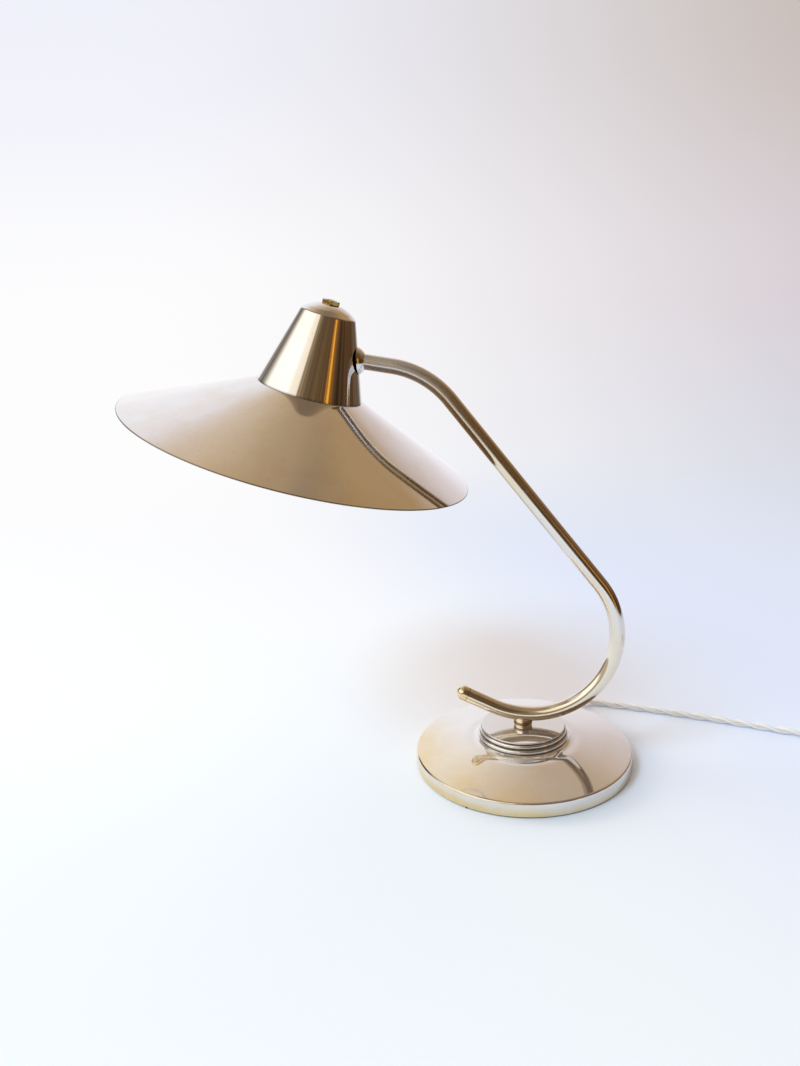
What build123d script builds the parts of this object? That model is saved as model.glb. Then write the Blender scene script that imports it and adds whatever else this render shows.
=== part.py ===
from build123d import *
import os
from math import atan, atan2, cos, degrees, hypot, pi, radians, sin, sqrt, tan

os.makedirs("parts", exist_ok=True)

# Desk lamp with a bent tube arm that turns on its foot and a wide conical head that turns on the arm.
# Millimetres and degrees. The table is z = 0, the swivel is the Z axis, the arm lies in the XZ plane
# and carries the head towards -X. The cord leaves the back of the foot towards +X.

# Fits and allowances
running_clearance = 0.08
face_clearance = 0.15
seat_gap = 0.3
cut_overrun = 6.0

# Threaded hollow rod and its nuts
rod_radius = 5.0
rod_bore_radius = 3.3
thin_nut_width = 14.0
thin_nut_thickness = 3.0
nut_chamfer = 0.7
spring_washer_radius = 8.2
spring_washer_thickness = 1.0

# Foot
base_radius = 95.0
base_skirt_lift = 1.0
base_rim_height = 13.3
base_crown_height = 25.0
base_crown_radius = 40.2
base_wall = 1.2
base_edge_radius = 1.2
felt_inset = 3.0
felt_thickness = 2.0
weight_side_gap = 4.0
weight_edge_height = 8.0
weight_shoulder_radius = 44.0
weight_shoulder_drop = 3.5
weight_boss_radius = 38.0
nut_pocket_radius = 15.0
nut_pocket_depth = 10.0

# Collar, from its lip up
collar_lip_radius = 39.4
collar_lip_height = 3.9
collar_ring_radius = 38.0
collar_ring_height = 3.7
collar_groove_depth = 1.3
collar_groove_height = 0.5
collar_disc_radius = 36.5
collar_disc_height = 1.3
collar_disc_edge = 0.6
collar_pocket_radius = 33.0
collar_top_thickness = 2.2

# Swivel
swivel_washer_radius = 7.7
swivel_washer_thickness = 1.5
swivel_ring_radius = 8.2
swivel_ring_thickness = 1.9
stud_head_radius = 7.3
stud_head_height = 4.2
stud_head_web = 0.3
stud_end_height = 4.0
stud_nut_width = 17.0
stud_nut_thickness = 5.0

# Arm tube, in the XZ plane
tube_radius = 6.5
tube_bore_radius = 5.0
tail_angle = 25.6
tail_length = 23.0
bow_radius = 75.3
bow_offset = 5.0
run_angle = 52.4
run_length = 199.2
bend_radius = 76.0
end_angle = 10.44
end_run = 27.65
tube_stop = 3.0
tail_cap_length = 10.3
tail_spigot_length = 8.0
arm_wire_radius = 2.2
arm_wire_start_angle = 12.0
nipple_depth = 12.0
nipple_reach = 9.3
nipple_bore_radius = 2.5

# Head, measured along its own leaning axis from the plane of the shade's rim
head_lean = 17.5
shade_rim_radius = 149.0
shade_land_radius = 45.3
shade_height = 45.9
shade_wall = 1.0
shade_hole_radius = 20.2
cap_foot_radius = 44.3
cap_shoulder_radius = 23.0
cap_flank_height = 64.0
cap_dome_rise = 8.6
cap_flat_radius = 9.0
cap_wall = 1.0
arm_entry_height = 34.0
rosette_radius = 11.4
rosette_sphere_radius = 12.7
saddle_radius = 8.4
saddle_reach = 4.2

# Lampholder and bulb, drops and rises measured from the top of the shade
rod_top_show = 0.2
top_nut_turn = 10.0
rod_foot_rise = 20.1
holder_mouth_drop = 25.9
holder_sleeve_radius = 19.8
holder_sleeve_wall = 2.0
holder_shoulder_radius = 23.5
holder_shoulder_height = 3.0
holder_cap_radius = 21.5
holder_cap_side = 11.0
holder_cap_top_rise = 25.1
holder_cap_neck_radius = 9.0
holder_cap_wall = 1.4
insert_thickness = 13.0
insert_drop = 3.0
screw_shell_radius = 14.4
screw_shell_wall = 0.7
screw_shell_height = 20.0
contact_radius = 4.5
contact_thickness = 1.2
shade_ring_radius = 26.0
shade_ring_height = 4.6
shade_ring_edge = 0.5
bulb_globe_radius = 22.5
bulb_globe_drop = 53.9
bulb_neck_radius = 12.4
bulb_neck_drop = 28.4
bulb_glass_wall = 1.2
bulb_screw_radius = 13.2
bulb_screw_height = 20.0
bulb_tip_radius = 4.8

# Cord, its exit and its way over the table
cord_radius = 3.25
exit_azimuth = 66.0
exit_height = 6.4
grommet_flange_radius = 5.6
grommet_flange_thickness = 2.0
grommet_barrel_radius = 4.5
grommet_barrel_length = 3.0
groove_side_gap = 0.3
lead_inner_end = 18.0
lead_first_run = 11.0
lead_route = [(54.5, 107.6), (68.0, 110.6), (86.0, 105.5), (120.0, 97.0), (165.0, 84.0), (212.0, 68.0)]
lead_last_points = [(236.0, 59.2), (255.0, 51.9)]
lead_drop_shares = [0.45, 1.0]
arc_run_share = 0.45

# Coil of the put-away cord and its tie
tie_stand = 0.25
tie_thickness = 0.8
tie_gap = 0.35
tie_side_gap = 0.8
tie_width = 8.0
tie_corner_radius = 2.0
tie_angle = 200.0
coil_middle_radius = 36.0
coil_pitch = 7.1
coil_turns_in = 3.0
coil_climb_turns = 0.5
coil_turns_out = 2.75
coil_lead_in = 28.0
coil_lead_out = 8.0
coil_spans_per_turn = 4

# Inline switch on the cord
switch_gap = 14.0
switch_length = 62.0
switch_width = 24.0
switch_corner_radius = 8.0
switch_lower_height = 8.0
switch_upper_height = 7.5
switch_edge_radius = 2.0
rocker_length = 20.0
rocker_width = 9.4
rocker_end_low = 0.6
rocker_end_high = 3.6
rocker_middle_high = 2.4
rocker_keel_width = 6.0
rocker_keel_depth = 1.8
rocker_rest_angle = 9.0
rocker_pivot_drop = 2.2
rocker_slot_gap = 1.0
rocker_slot_side_gap = 0.35
rocker_slot_depth = 5.2
rocker_pin_radius = 1.1
rocker_pin_length = 14.0
switch_screw_offset = 22.0
switch_screw_radius = 1.4
switch_screw_head_radius = 2.7
switch_screw_head_height = 1.6
switch_screw_sink = 0.5
switch_screw_length = 11.0

# Plug
tail_runs = [14.0, 15.0, 13.0]
tail_turn = -9.0
plug_sleeve_length = 20.0
plug_sleeve_radius = 4.3
plug_sleeve_root_radius = 5.8
plug_shoulder_length = 9.0
plug_waist_width = 13.0
plug_body_length = 26.0
plug_body_width = 27.0
plug_front_width = 24.0
plug_thickness = 13.7
plug_edge_radius = 2.4
pin_radius = 2.0
pin_length = 19.0
pin_spacing = 18.6
pin_tip_radius = 1.2


def save(builder, label):
    """Name the piece and write it to its own file."""
    builder.part.label = label
    export_step(builder.part, f"parts/{label}.step")


def in_arm_plane(x, z):
    """A point of the arm's own plane."""
    return Vector(x, 0, z)


def heading(angle):
    """Unit vector in the arm's plane at an angle above +X."""
    return Vector(cos(radians(angle)), 0, sin(radians(angle)))


def hex_nut(plane, width, height, turn=0):
    """Hexagon nut that stands on a plane, bored for the rod, its corners cut by a cone at both faces."""
    with BuildPart() as nut:
        with BuildSketch(plane):
            Circle(width / sqrt(3))
        extrude(amount=height)
        chamfer(nut.edges().filter_by(GeomType.CIRCLE), length=nut_chamfer)
        with BuildSketch(plane):
            RegularPolygon(width / 2, 6, major_radius=False, rotation=turn)
        extrude(amount=height, mode=Mode.INTERSECT)
        with BuildSketch(plane):
            Circle(rod_radius)
        extrude(amount=height, mode=Mode.SUBTRACT)
    return nut


# Heights of the swivel stack
collar_height = collar_lip_height + collar_ring_height + collar_disc_height + 2 * collar_groove_height
collar_top = base_crown_height + collar_height
washer_top = collar_top + swivel_washer_thickness
ring_top = washer_top + swivel_ring_thickness
stud_shoulder = ring_top + face_clearance
tube_foot = stud_shoulder + stud_head_web + tube_radius

# Points of the arm's centre line
bow_centre = in_arm_plane(bow_offset, tube_foot + sqrt(bow_radius**2 - bow_offset**2))
bow_start = bow_centre + heading(270 - tail_angle) * bow_radius
bow_end = bow_centre + heading(90 - run_angle) * bow_radius
bow_middle = bow_centre + heading((270 - tail_angle + 450 - run_angle) / 2) * bow_radius
tail_end = bow_start + heading(180 - tail_angle) * tail_length
bend_start = bow_end + heading(180 - run_angle) * run_length
bend_centre = bend_start + heading(270 - run_angle) * bend_radius
bend_end = bend_centre + heading(90 - end_angle) * bend_radius
bend_middle = bend_centre + heading(90 - (run_angle + end_angle) / 2) * bend_radius
arm_heading = heading(180 - end_angle)
arm_tip = bend_end + arm_heading * end_run
tube_end = arm_tip - arm_heading * tube_stop

# Frame of the head, hung on the tip of the arm
head_up = heading(90 - head_lean)
head_right = heading(-head_lean)
flank_angle = degrees(atan((cap_foot_radius - cap_shoulder_radius) / cap_flank_height))
entry_radius = cap_foot_radius - arm_entry_height * tan(radians(flank_angle))
head_origin = arm_tip - head_right * entry_radius - head_up * (shade_height + arm_entry_height)
head_section = Plane(origin=head_origin, x_dir=head_right, z_dir=(0, -1, 0))
head_axis = Axis(head_origin, head_up)
arm_end_plane = Plane(origin=arm_tip, x_dir=(0, 1, 0), z_dir=arm_heading)
flank_normal = heading(flank_angle - head_lean)

# Felt and weight keep their distance from the foot's wall
felt_radius = base_radius - felt_inset
weight_radius = base_radius - weight_side_gap

# Felt under the foot
with BuildPart() as base_felt:
    with BuildSketch(Plane.XY):
        Circle(felt_radius)
    extrude(amount=felt_thickness)
save(base_felt, "base_felt")

# Spun foot: one sheet, open below, with the swivel hole and the cord hole
exit_direction = Vector(cos(radians(exit_azimuth)), sin(radians(exit_azimuth)), 0)
exit_plane = Plane(origin=(0, 0, exit_height), x_dir=(0, 0, 1), z_dir=exit_direction)
crown_underside = base_crown_height - base_wall
cone_slope = (base_crown_height - base_rim_height) / (base_radius - base_crown_radius)
cone_stretch = sqrt(1 + cone_slope**2)
crown_inner_radius = base_crown_radius + base_wall * (1 - cone_stretch) / cone_slope
with BuildPart() as base_shell:
    with BuildSketch(Plane.XZ):
        with BuildLine():
            Polyline(
                (rod_radius + running_clearance, base_crown_height),
                (rod_radius + running_clearance, crown_underside),
                (crown_inner_radius, crown_underside),
                (base_radius - base_wall, base_rim_height + base_wall * (cone_slope - cone_stretch)),
                (base_radius - base_wall, base_skirt_lift),
                (base_radius, base_skirt_lift),
                (base_radius, base_rim_height),
                (base_crown_radius, base_crown_height),
                close=True,
            )
        make_face()
    revolve(axis=Axis.Z)
    fillet(base_shell.edges().filter_by(GeomType.CIRCLE).sort_by(Axis.Z)[3], base_edge_radius)
    with BuildSketch(exit_plane.offset(base_radius)):
        Circle(grommet_barrel_radius)
    extrude(amount=-base_wall - cut_overrun, mode=Mode.SUBTRACT)
save(base_shell, "base_shell")

# Cast weight: its boss carries the crown, a groove below leads the cord in
pocket_top = felt_thickness + nut_pocket_depth
with BuildPart() as base_weight:
    with BuildSketch(Plane.XZ):
        with BuildLine():
            Polyline(
                (rod_radius + running_clearance, pocket_top),
                (nut_pocket_radius, pocket_top),
                (nut_pocket_radius, felt_thickness),
                (weight_radius, felt_thickness),
                (weight_radius, felt_thickness + weight_edge_height),
                (weight_shoulder_radius, crown_underside - weight_shoulder_drop),
                (weight_boss_radius, crown_underside),
                (rod_radius + running_clearance, crown_underside),
                close=True,
            )
        make_face()
    revolve(axis=Axis.Z)
    groove_width = 2 * (cord_radius + groove_side_gap)
    groove_top = exit_height + cord_radius + groove_side_gap
    groove_floor = Plane(origin=(0, 0, felt_thickness), x_dir=exit_direction, z_dir=(0, 0, 1))
    with BuildSketch(groove_floor):
        Rectangle(base_radius, groove_width, align=(Align.MIN, Align.CENTER))
    extrude(amount=groove_top - felt_thickness, mode=Mode.SUBTRACT)
save(base_weight, "base_weight")

# Stepped collar: half-round lip, half-round ring and a flat polished disc
lip_top = base_crown_height + collar_lip_height
ring_bottom = lip_top + collar_groove_height
ring_upper = ring_bottom + collar_ring_height
disc_bottom = ring_upper + collar_groove_height
lip_bulge = collar_groove_depth
with BuildPart() as base_collar:
    with BuildSketch(Plane.XZ):
        with BuildLine():
            lip_root = collar_lip_radius - lip_bulge
            ring_root = collar_ring_radius - lip_bulge
            disc_root = collar_disc_radius - lip_bulge
            Line((rod_radius + running_clearance, base_crown_height), (lip_root, base_crown_height))
            ThreePointArc(
                (lip_root, base_crown_height),
                (collar_lip_radius, base_crown_height + collar_lip_height / 2),
                (lip_root, lip_top),
            )
            Polyline((lip_root, lip_top), (ring_root, lip_top), (ring_root, ring_bottom))
            ThreePointArc(
                (ring_root, ring_bottom),
                (collar_ring_radius, ring_bottom + collar_ring_height / 2),
                (ring_root, ring_upper),
            )
            Polyline(
                (ring_root, ring_upper),
                (disc_root, ring_upper),
                (disc_root, disc_bottom),
                (collar_disc_radius, disc_bottom),
                (collar_disc_radius, collar_top - collar_disc_edge),
                (collar_disc_radius - collar_disc_edge, collar_top),
                (rod_radius + running_clearance, collar_top),
                (rod_radius + running_clearance, base_crown_height),
            )
        make_face()
    revolve(axis=Axis.Z)
    with BuildSketch(Plane.XY.offset(base_crown_height)):
        Circle(collar_pocket_radius)
        Circle(stud_head_radius, mode=Mode.SUBTRACT)
    extrude(amount=collar_height - collar_top_thickness, mode=Mode.SUBTRACT)
save(base_collar, "base_collar")

# Washer and brass friction ring on the collar
with BuildPart() as swivel_washer:
    with BuildSketch(Plane.XY.offset(collar_top)):
        Circle(swivel_washer_radius)
        Circle(rod_radius + running_clearance, mode=Mode.SUBTRACT)
    extrude(amount=swivel_washer_thickness)
save(swivel_washer, "swivel_washer")

with BuildPart() as swivel_ring:
    with BuildSketch(Plane.XY.offset(washer_top)):
        Circle(swivel_ring_radius)
        Circle(rod_radius + running_clearance, mode=Mode.SUBTRACT)
    extrude(amount=swivel_ring_thickness)
save(swivel_ring, "swivel_ring")

# Bush in the rear wall and the cord inside the foot
grommet_seat = sqrt(base_radius**2 - grommet_flange_radius**2)
grommet_face = base_radius + grommet_flange_thickness
with BuildPart() as cord_grommet:
    with BuildSketch(exit_plane.offset(grommet_face)):
        Circle(grommet_flange_radius)
    extrude(amount=grommet_seat - grommet_face)
    with BuildSketch(Plane.XY.offset(base_skirt_lift)):
        Circle(base_radius)
    extrude(amount=base_crown_height, mode=Mode.SUBTRACT)
    with BuildSketch(exit_plane.offset(base_radius - grommet_barrel_length)):
        Circle(grommet_barrel_radius)
    extrude(amount=grommet_barrel_length + grommet_flange_thickness / 2)
    with BuildSketch(exit_plane.offset(grommet_face)):
        Circle(cord_radius)
    extrude(amount=-grommet_flange_thickness - grommet_barrel_length - cut_overrun, mode=Mode.SUBTRACT)
save(cord_grommet, "cord_grommet")

with BuildPart() as base_lead:
    with BuildSketch(exit_plane.offset(lead_inner_end)):
        Circle(cord_radius)
    extrude(amount=grommet_face - lead_inner_end)
save(base_lead, "base_lead")

# Arm tube on its centre line of straights and tangent arcs
with BuildPart() as arm_tube:
    with BuildLine() as arm_line:
        Line(tail_end, bow_start)
        ThreePointArc(bow_start, bow_middle, bow_end)
        Line(bow_end, bend_start)
        ThreePointArc(bend_start, bend_middle, bend_end)
        Line(bend_end, tube_end)
    with BuildSketch(Plane(origin=tail_end, x_dir=(0, 1, 0), z_dir=heading(-tail_angle))):
        Circle(tube_radius)
        Circle(tube_bore_radius, mode=Mode.SUBTRACT)
    sweep()
    with BuildSketch(Plane.XY.offset(tube_foot)):
        Circle(rod_bore_radius)
    extrude(amount=-tube_radius - cut_overrun, mode=Mode.SUBTRACT)
save(arm_tube, "arm_tube")

# Rounded plug in the tail
with BuildPart() as tail_cap:
    with BuildSketch(Plane(origin=tail_end, x_dir=heading(180 - tail_angle), z_dir=(0, -1, 0))):
        with BuildLine():
            Polyline(
                (tail_cap_length, 0),
                (-tail_spigot_length, 0),
                (-tail_spigot_length, tube_bore_radius),
                (0, tube_bore_radius),
                (0, tube_radius),
                (tail_cap_length - tube_radius, tube_radius),
            )
            RadiusArc((tail_cap_length - tube_radius, tube_radius), (tail_cap_length, 0), tube_radius)
        make_face()
    revolve(axis=Axis(tail_end, heading(180 - tail_angle)))
save(tail_cap, "tail_cap")

# Solid rod on the bow, used to cut the stud's saddle
with BuildPart() as bow_rod:
    with BuildLine():
        ThreePointArc(bow_start, bow_middle, bow_end)
    with BuildSketch(Plane(origin=bow_start, x_dir=(0, 1, 0), z_dir=heading(-tail_angle))):
        Circle(tube_radius)
    sweep()

# Hollow stud: shoulder and saddle under the tube, shank down through the foot
with BuildPart() as swivel_stud:
    with BuildSketch(Plane.XY.offset(stud_shoulder)):
        Circle(stud_head_radius)
    extrude(amount=stud_head_height)
    with BuildSketch(Plane.XY.offset(stud_end_height)):
        Circle(rod_radius)
    extrude(amount=stud_shoulder - stud_end_height)
    with BuildSketch(Plane.XY.offset(stud_end_height)):
        Circle(rod_bore_radius)
    extrude(amount=stud_shoulder + stud_head_height, mode=Mode.SUBTRACT)
    add(bow_rod.part, mode=Mode.SUBTRACT)
save(swivel_stud, "swivel_stud")

# Spring washer and nut that hold the stud up in the weight's pocket
stud_washer_top = pocket_top - face_clearance
with BuildPart() as stud_spring_washer:
    with BuildSketch(Plane.XY.offset(stud_washer_top)):
        Circle(spring_washer_radius)
        Circle(rod_radius, mode=Mode.SUBTRACT)
    extrude(amount=-spring_washer_thickness)
save(stud_spring_washer, "stud_spring_washer")

stud_nut_plane = Plane.XY.offset(stud_washer_top - spring_washer_thickness - stud_nut_thickness)
stud_nut = hex_nut(stud_nut_plane, stud_nut_width, stud_nut_thickness)
save(stud_nut, "stud_nut")

# Flex inside the tube
wire_start = bow_centre + heading(270 + arm_wire_start_angle) * bow_radius
wire_middle = bow_centre + heading((270 + arm_wire_start_angle + 450 - run_angle) / 2) * bow_radius
wire_end = arm_tip + arm_heading * nipple_reach
with BuildPart() as arm_wire:
    with BuildLine():
        ThreePointArc(wire_start, wire_middle, bow_end)
        Line(bow_end, bend_start)
        ThreePointArc(bend_start, bend_middle, bend_end)
        Line(bend_end, wire_end)
    with BuildSketch(Plane(origin=wire_start, x_dir=(0, 1, 0), z_dir=heading(arm_wire_start_angle))):
        Circle(arm_wire_radius)
    sweep()
save(arm_wire, "arm_wire")

# Hollow threaded end of the arm, its spring washer and its nut
with BuildPart() as arm_end_nipple:
    with BuildSketch(arm_end_plane.offset(-tube_stop - nipple_depth)):
        Circle(rod_radius)
        Circle(nipple_bore_radius, mode=Mode.SUBTRACT)
    extrude(amount=tube_stop + nipple_depth + nipple_reach)
save(arm_end_nipple, "arm_end_nipple")

end_washer_seat = saddle_reach + face_clearance
with BuildPart() as arm_end_washer:
    with BuildSketch(arm_end_plane.offset(end_washer_seat)):
        Circle(spring_washer_radius)
        Circle(rod_radius, mode=Mode.SUBTRACT)
    extrude(amount=spring_washer_thickness)
save(arm_end_washer, "arm_end_washer")

end_nut_plane = arm_end_plane.offset(end_washer_seat + spring_washer_thickness)
arm_end_nut = hex_nut(end_nut_plane, thin_nut_width, thin_nut_thickness)
save(arm_end_nut, "arm_end_nut")

# Domed washer on the flank, bored about the tube so that it turns on it
with BuildPart() as rosette:
    with BuildSketch(Plane(origin=arm_tip, x_dir=flank_normal, z_dir=(0, -1, 0))):
        with BuildLine():
            dome_centre_depth = sqrt(rosette_sphere_radius**2 - rosette_radius**2)
            dome_apex = rosette_sphere_radius - dome_centre_depth
            Polyline((dome_apex, 0), (0, 0), (0, rosette_radius))
            RadiusArc((0, rosette_radius), (dome_apex, 0), rosette_sphere_radius)
        make_face()
    revolve(axis=Axis(arm_tip, flank_normal))
    with BuildSketch(arm_end_plane.offset(-tube_stop + face_clearance)):
        Circle(tube_radius + running_clearance)
    extrude(amount=-rosette_sphere_radius, mode=Mode.SUBTRACT)
    with BuildSketch(arm_end_plane.offset(cut_overrun)):
        Circle(rod_radius + running_clearance)
    extrude(amount=-rosette_sphere_radius - cut_overrun, mode=Mode.SUBTRACT)
save(rosette, "rosette")

# Conical cap: outer and inner turned forms share the wall, the arm's hole goes through one flank
cap_shoulder_height = shade_height + cap_flank_height
dome_radius = (cap_shoulder_radius**2 + cap_dome_rise**2) / (2 * cap_dome_rise)
dome_centre_height = cap_shoulder_height + cap_dome_rise - dome_radius
cap_flat_height = dome_centre_height + sqrt(dome_radius**2 - cap_flat_radius**2)
inner_flat_height = cap_flat_height - cap_wall
inner_dome_radius = dome_radius - cap_wall
inner_flat_radius = sqrt(inner_dome_radius**2 - (inner_flat_height - dome_centre_height) ** 2)
flank_thickness = cap_wall / cos(radians(flank_angle))
flank_slope = tan(radians(flank_angle))
inner_foot_radius = cap_foot_radius - flank_thickness
slope_square = 1 + flank_slope**2
slope_cross = inner_foot_radius * flank_slope + (dome_centre_height - shade_height)
slope_rest = inner_foot_radius**2 + (dome_centre_height - shade_height) ** 2 - inner_dome_radius**2
inner_shoulder_rise = (slope_cross + sqrt(slope_cross**2 - slope_square * slope_rest)) / slope_square
inner_shoulder_radius = inner_foot_radius - inner_shoulder_rise * flank_slope
inner_shoulder_height = shade_height + inner_shoulder_rise

with BuildPart() as cap_inside:
    with BuildSketch(head_section):
        with BuildLine():
            Polyline(
                (0, inner_flat_height),
                (0, shade_height),
                (inner_foot_radius, shade_height),
                (inner_shoulder_radius, inner_shoulder_height),
            )
            RadiusArc(
                (inner_shoulder_radius, inner_shoulder_height),
                (inner_flat_radius, inner_flat_height),
                -inner_dome_radius,
            )
            Line((inner_flat_radius, inner_flat_height), (0, inner_flat_height))
        make_face()
    revolve(axis=head_axis)

with BuildPart() as cone_cap:
    with BuildSketch(head_section):
        with BuildLine():
            Polyline(
                (0, cap_flat_height),
                (0, shade_height),
                (cap_foot_radius, shade_height),
                (cap_shoulder_radius, cap_shoulder_height),
            )
            RadiusArc(
                (cap_shoulder_radius, cap_shoulder_height),
                (cap_flat_radius, cap_flat_height),
                -dome_radius,
            )
            Line((cap_flat_radius, cap_flat_height), (0, cap_flat_height))
        make_face()
    revolve(axis=head_axis)
    add(cap_inside.part, mode=Mode.SUBTRACT)
    with BuildSketch(Plane(origin=head_origin + head_up * cap_flat_height, z_dir=head_up)):
        Circle(rod_radius + running_clearance)
    extrude(amount=-cap_wall - cut_overrun, mode=Mode.SUBTRACT)
    with BuildSketch(arm_end_plane.offset(-cut_overrun)):
        Circle(rod_radius + running_clearance)
    extrude(amount=2 * cut_overrun, mode=Mode.SUBTRACT)
save(cone_cap, "cone_cap")

# Wedge washer that fills the space between the leaning flank and the square nut face
with BuildPart() as saddle_washer:
    with BuildSketch(arm_end_plane.offset(-cut_overrun)):
        Circle(saddle_radius)
        Circle(rod_radius + running_clearance, mode=Mode.SUBTRACT)
    extrude(amount=cut_overrun + saddle_reach)
    add(cap_inside.part, mode=Mode.INTERSECT)
save(saddle_washer, "saddle_washer")

# Shade: flat land and flange on top, then one straight cone to the rim
shade_angle = atan2(shade_height, shade_rim_radius - shade_land_radius)
land_inner = shade_land_radius - shade_wall * (sin(shade_angle) - tan(shade_angle / 2) * cos(shade_angle))
with BuildPart() as shade:
    with BuildSketch(head_section):
        with BuildLine():
            Polyline(
                (shade_hole_radius, shade_height),
                (shade_land_radius, shade_height),
                (shade_rim_radius, 0),
                (shade_rim_radius - shade_wall * sin(shade_angle), -shade_wall * cos(shade_angle)),
                (land_inner, shade_height - shade_wall),
                (shade_hole_radius, shade_height - shade_wall),
                close=True,
            )
        make_face()
    revolve(axis=head_axis)
save(shade, "shade")


def head_plane(height):
    """Plane square to the head's axis at a height above the shade's rim."""
    return Plane(origin=head_origin + head_up * height, x_dir=(0, 1, 0), z_dir=head_up)


# Hollow rod and the two nuts that hang the lampholder from the cap
rod_foot_height = shade_height + rod_foot_rise
rod_top_height = cap_flat_height + thin_nut_thickness + rod_top_show
with BuildPart() as top_rod:
    with BuildSketch(head_plane(rod_foot_height)):
        Circle(rod_radius)
        Circle(rod_bore_radius, mode=Mode.SUBTRACT)
    extrude(amount=rod_top_height - rod_foot_height)
save(top_rod, "top_rod")

top_nut = hex_nut(head_plane(cap_flat_height), thin_nut_width, thin_nut_thickness, top_nut_turn)
save(top_nut, "top_nut")

lock_nut_plane = head_plane(inner_flat_height - thin_nut_thickness)
inner_lock_nut = hex_nut(lock_nut_plane, thin_nut_width, thin_nut_thickness)
save(inner_lock_nut, "inner_lock_nut")

# Lampholder: sleeve through the shade, cap over it, porcelain inside
holder_shoulder_top = shade_height + holder_shoulder_height
holder_mouth_height = shade_height - holder_mouth_drop
holder_cap_top_height = shade_height + holder_cap_top_rise
sleeve_bore_radius = holder_sleeve_radius - holder_sleeve_wall
with BuildPart() as holder_body:
    with BuildSketch(head_section):
        with BuildLine():
            Polyline(
                (sleeve_bore_radius, holder_mouth_height),
                (holder_sleeve_radius, holder_mouth_height),
                (holder_sleeve_radius, shade_height),
                (holder_shoulder_radius, shade_height),
                (holder_shoulder_radius, holder_shoulder_top),
                (sleeve_bore_radius, holder_shoulder_top),
                close=True,
            )
        make_face()
    revolve(axis=head_axis)
save(holder_body, "holder_body")

holder_cap_side_top = holder_shoulder_top + holder_cap_side
holder_cap_bore = holder_cap_radius - holder_cap_wall
with BuildPart() as holder_cap:
    with BuildSketch(head_section):
        with BuildLine():
            Polyline(
                (holder_cap_bore, holder_shoulder_top),
                (holder_cap_radius, holder_shoulder_top),
                (holder_cap_radius, holder_cap_side_top),
                (holder_cap_neck_radius, holder_cap_top_height),
                (rod_radius, holder_cap_top_height),
                (rod_radius, holder_cap_top_height - (rod_radius + holder_cap_wall)),
                (holder_cap_neck_radius - holder_cap_wall, holder_cap_top_height - (rod_radius + holder_cap_wall)),
                (holder_cap_bore, holder_cap_side_top - holder_cap_wall),
                close=True,
            )
        make_face()
    revolve(axis=head_axis)
save(holder_cap, "holder_cap")

insert_bottom = holder_shoulder_top - insert_drop - insert_thickness / 2
with BuildPart() as holder_insert:
    with BuildSketch(head_plane(insert_bottom)):
        Circle(sleeve_bore_radius - seat_gap / 2)
    extrude(amount=insert_thickness)
save(holder_insert, "holder_insert")

with BuildPart() as holder_thread:
    with BuildSketch(head_plane(insert_bottom)):
        Circle(screw_shell_radius)
        Circle(screw_shell_radius - screw_shell_wall, mode=Mode.SUBTRACT)
    extrude(amount=-screw_shell_height)
save(holder_thread, "holder_thread")

with BuildPart() as holder_contact:
    with BuildSketch(head_plane(insert_bottom)):
        Circle(contact_radius)
    extrude(amount=-contact_thickness)
save(holder_contact, "holder_contact")

with BuildPart() as shade_ring:
    with BuildSketch(head_plane(shade_height - shade_wall)):
        Circle(shade_ring_radius)
        Circle(holder_sleeve_radius, mode=Mode.SUBTRACT)
    extrude(amount=-shade_ring_height)
    ring_edges = shade_ring.edges().filter_by(GeomType.CIRCLE).sort_by(SortBy.RADIUS)[-2:]
    fillet(ring_edges, shade_ring_edge)
save(shade_ring, "shade_ring")

# Bulb: globe blown onto a straight neck, screw cap with its tip on the contact
bulb_tip_top = insert_bottom - contact_thickness
bulb_globe_height = shade_height - bulb_globe_drop
bulb_neck_height = shade_height - bulb_neck_drop
neck_offset = bulb_neck_height - bulb_globe_height
neck_reach = hypot(bulb_neck_radius, neck_offset)
neck_swing = atan2(neck_offset, bulb_neck_radius) - atan2(
    sqrt(neck_reach**2 - bulb_globe_radius**2), bulb_globe_radius
)
globe_touch = (
    bulb_globe_radius * cos(neck_swing),
    bulb_globe_height + bulb_globe_radius * sin(neck_swing),
)
globe_bottom = bulb_globe_height - bulb_globe_radius
inner_globe_radius = bulb_globe_radius - bulb_glass_wall
inner_neck_radius = bulb_neck_radius - bulb_glass_wall
inner_touch = (
    inner_globe_radius * cos(neck_swing),
    bulb_globe_height + inner_globe_radius * sin(neck_swing),
)
with BuildPart() as bulb_glass:
    with BuildSketch(head_section):
        with BuildLine():
            Line((inner_neck_radius, bulb_neck_height), (bulb_neck_radius, bulb_neck_height))
            Line((bulb_neck_radius, bulb_neck_height), globe_touch)
            ThreePointArc(
                globe_touch,
                (
                    bulb_globe_radius * cos((neck_swing - pi / 2) / 2),
                    bulb_globe_height + bulb_globe_radius * sin((neck_swing - pi / 2) / 2),
                ),
                (0, globe_bottom),
            )
            Line((0, globe_bottom), (0, globe_bottom + bulb_glass_wall))
            ThreePointArc(
                (0, globe_bottom + bulb_glass_wall),
                (
                    inner_globe_radius * cos((neck_swing - pi / 2) / 2),
                    bulb_globe_height + inner_globe_radius * sin((neck_swing - pi / 2) / 2),
                ),
                inner_touch,
            )
            Line(inner_touch, (inner_neck_radius, bulb_neck_height))
        make_face()
    revolve(axis=head_axis)
save(bulb_glass, "bulb_glass")

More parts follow.
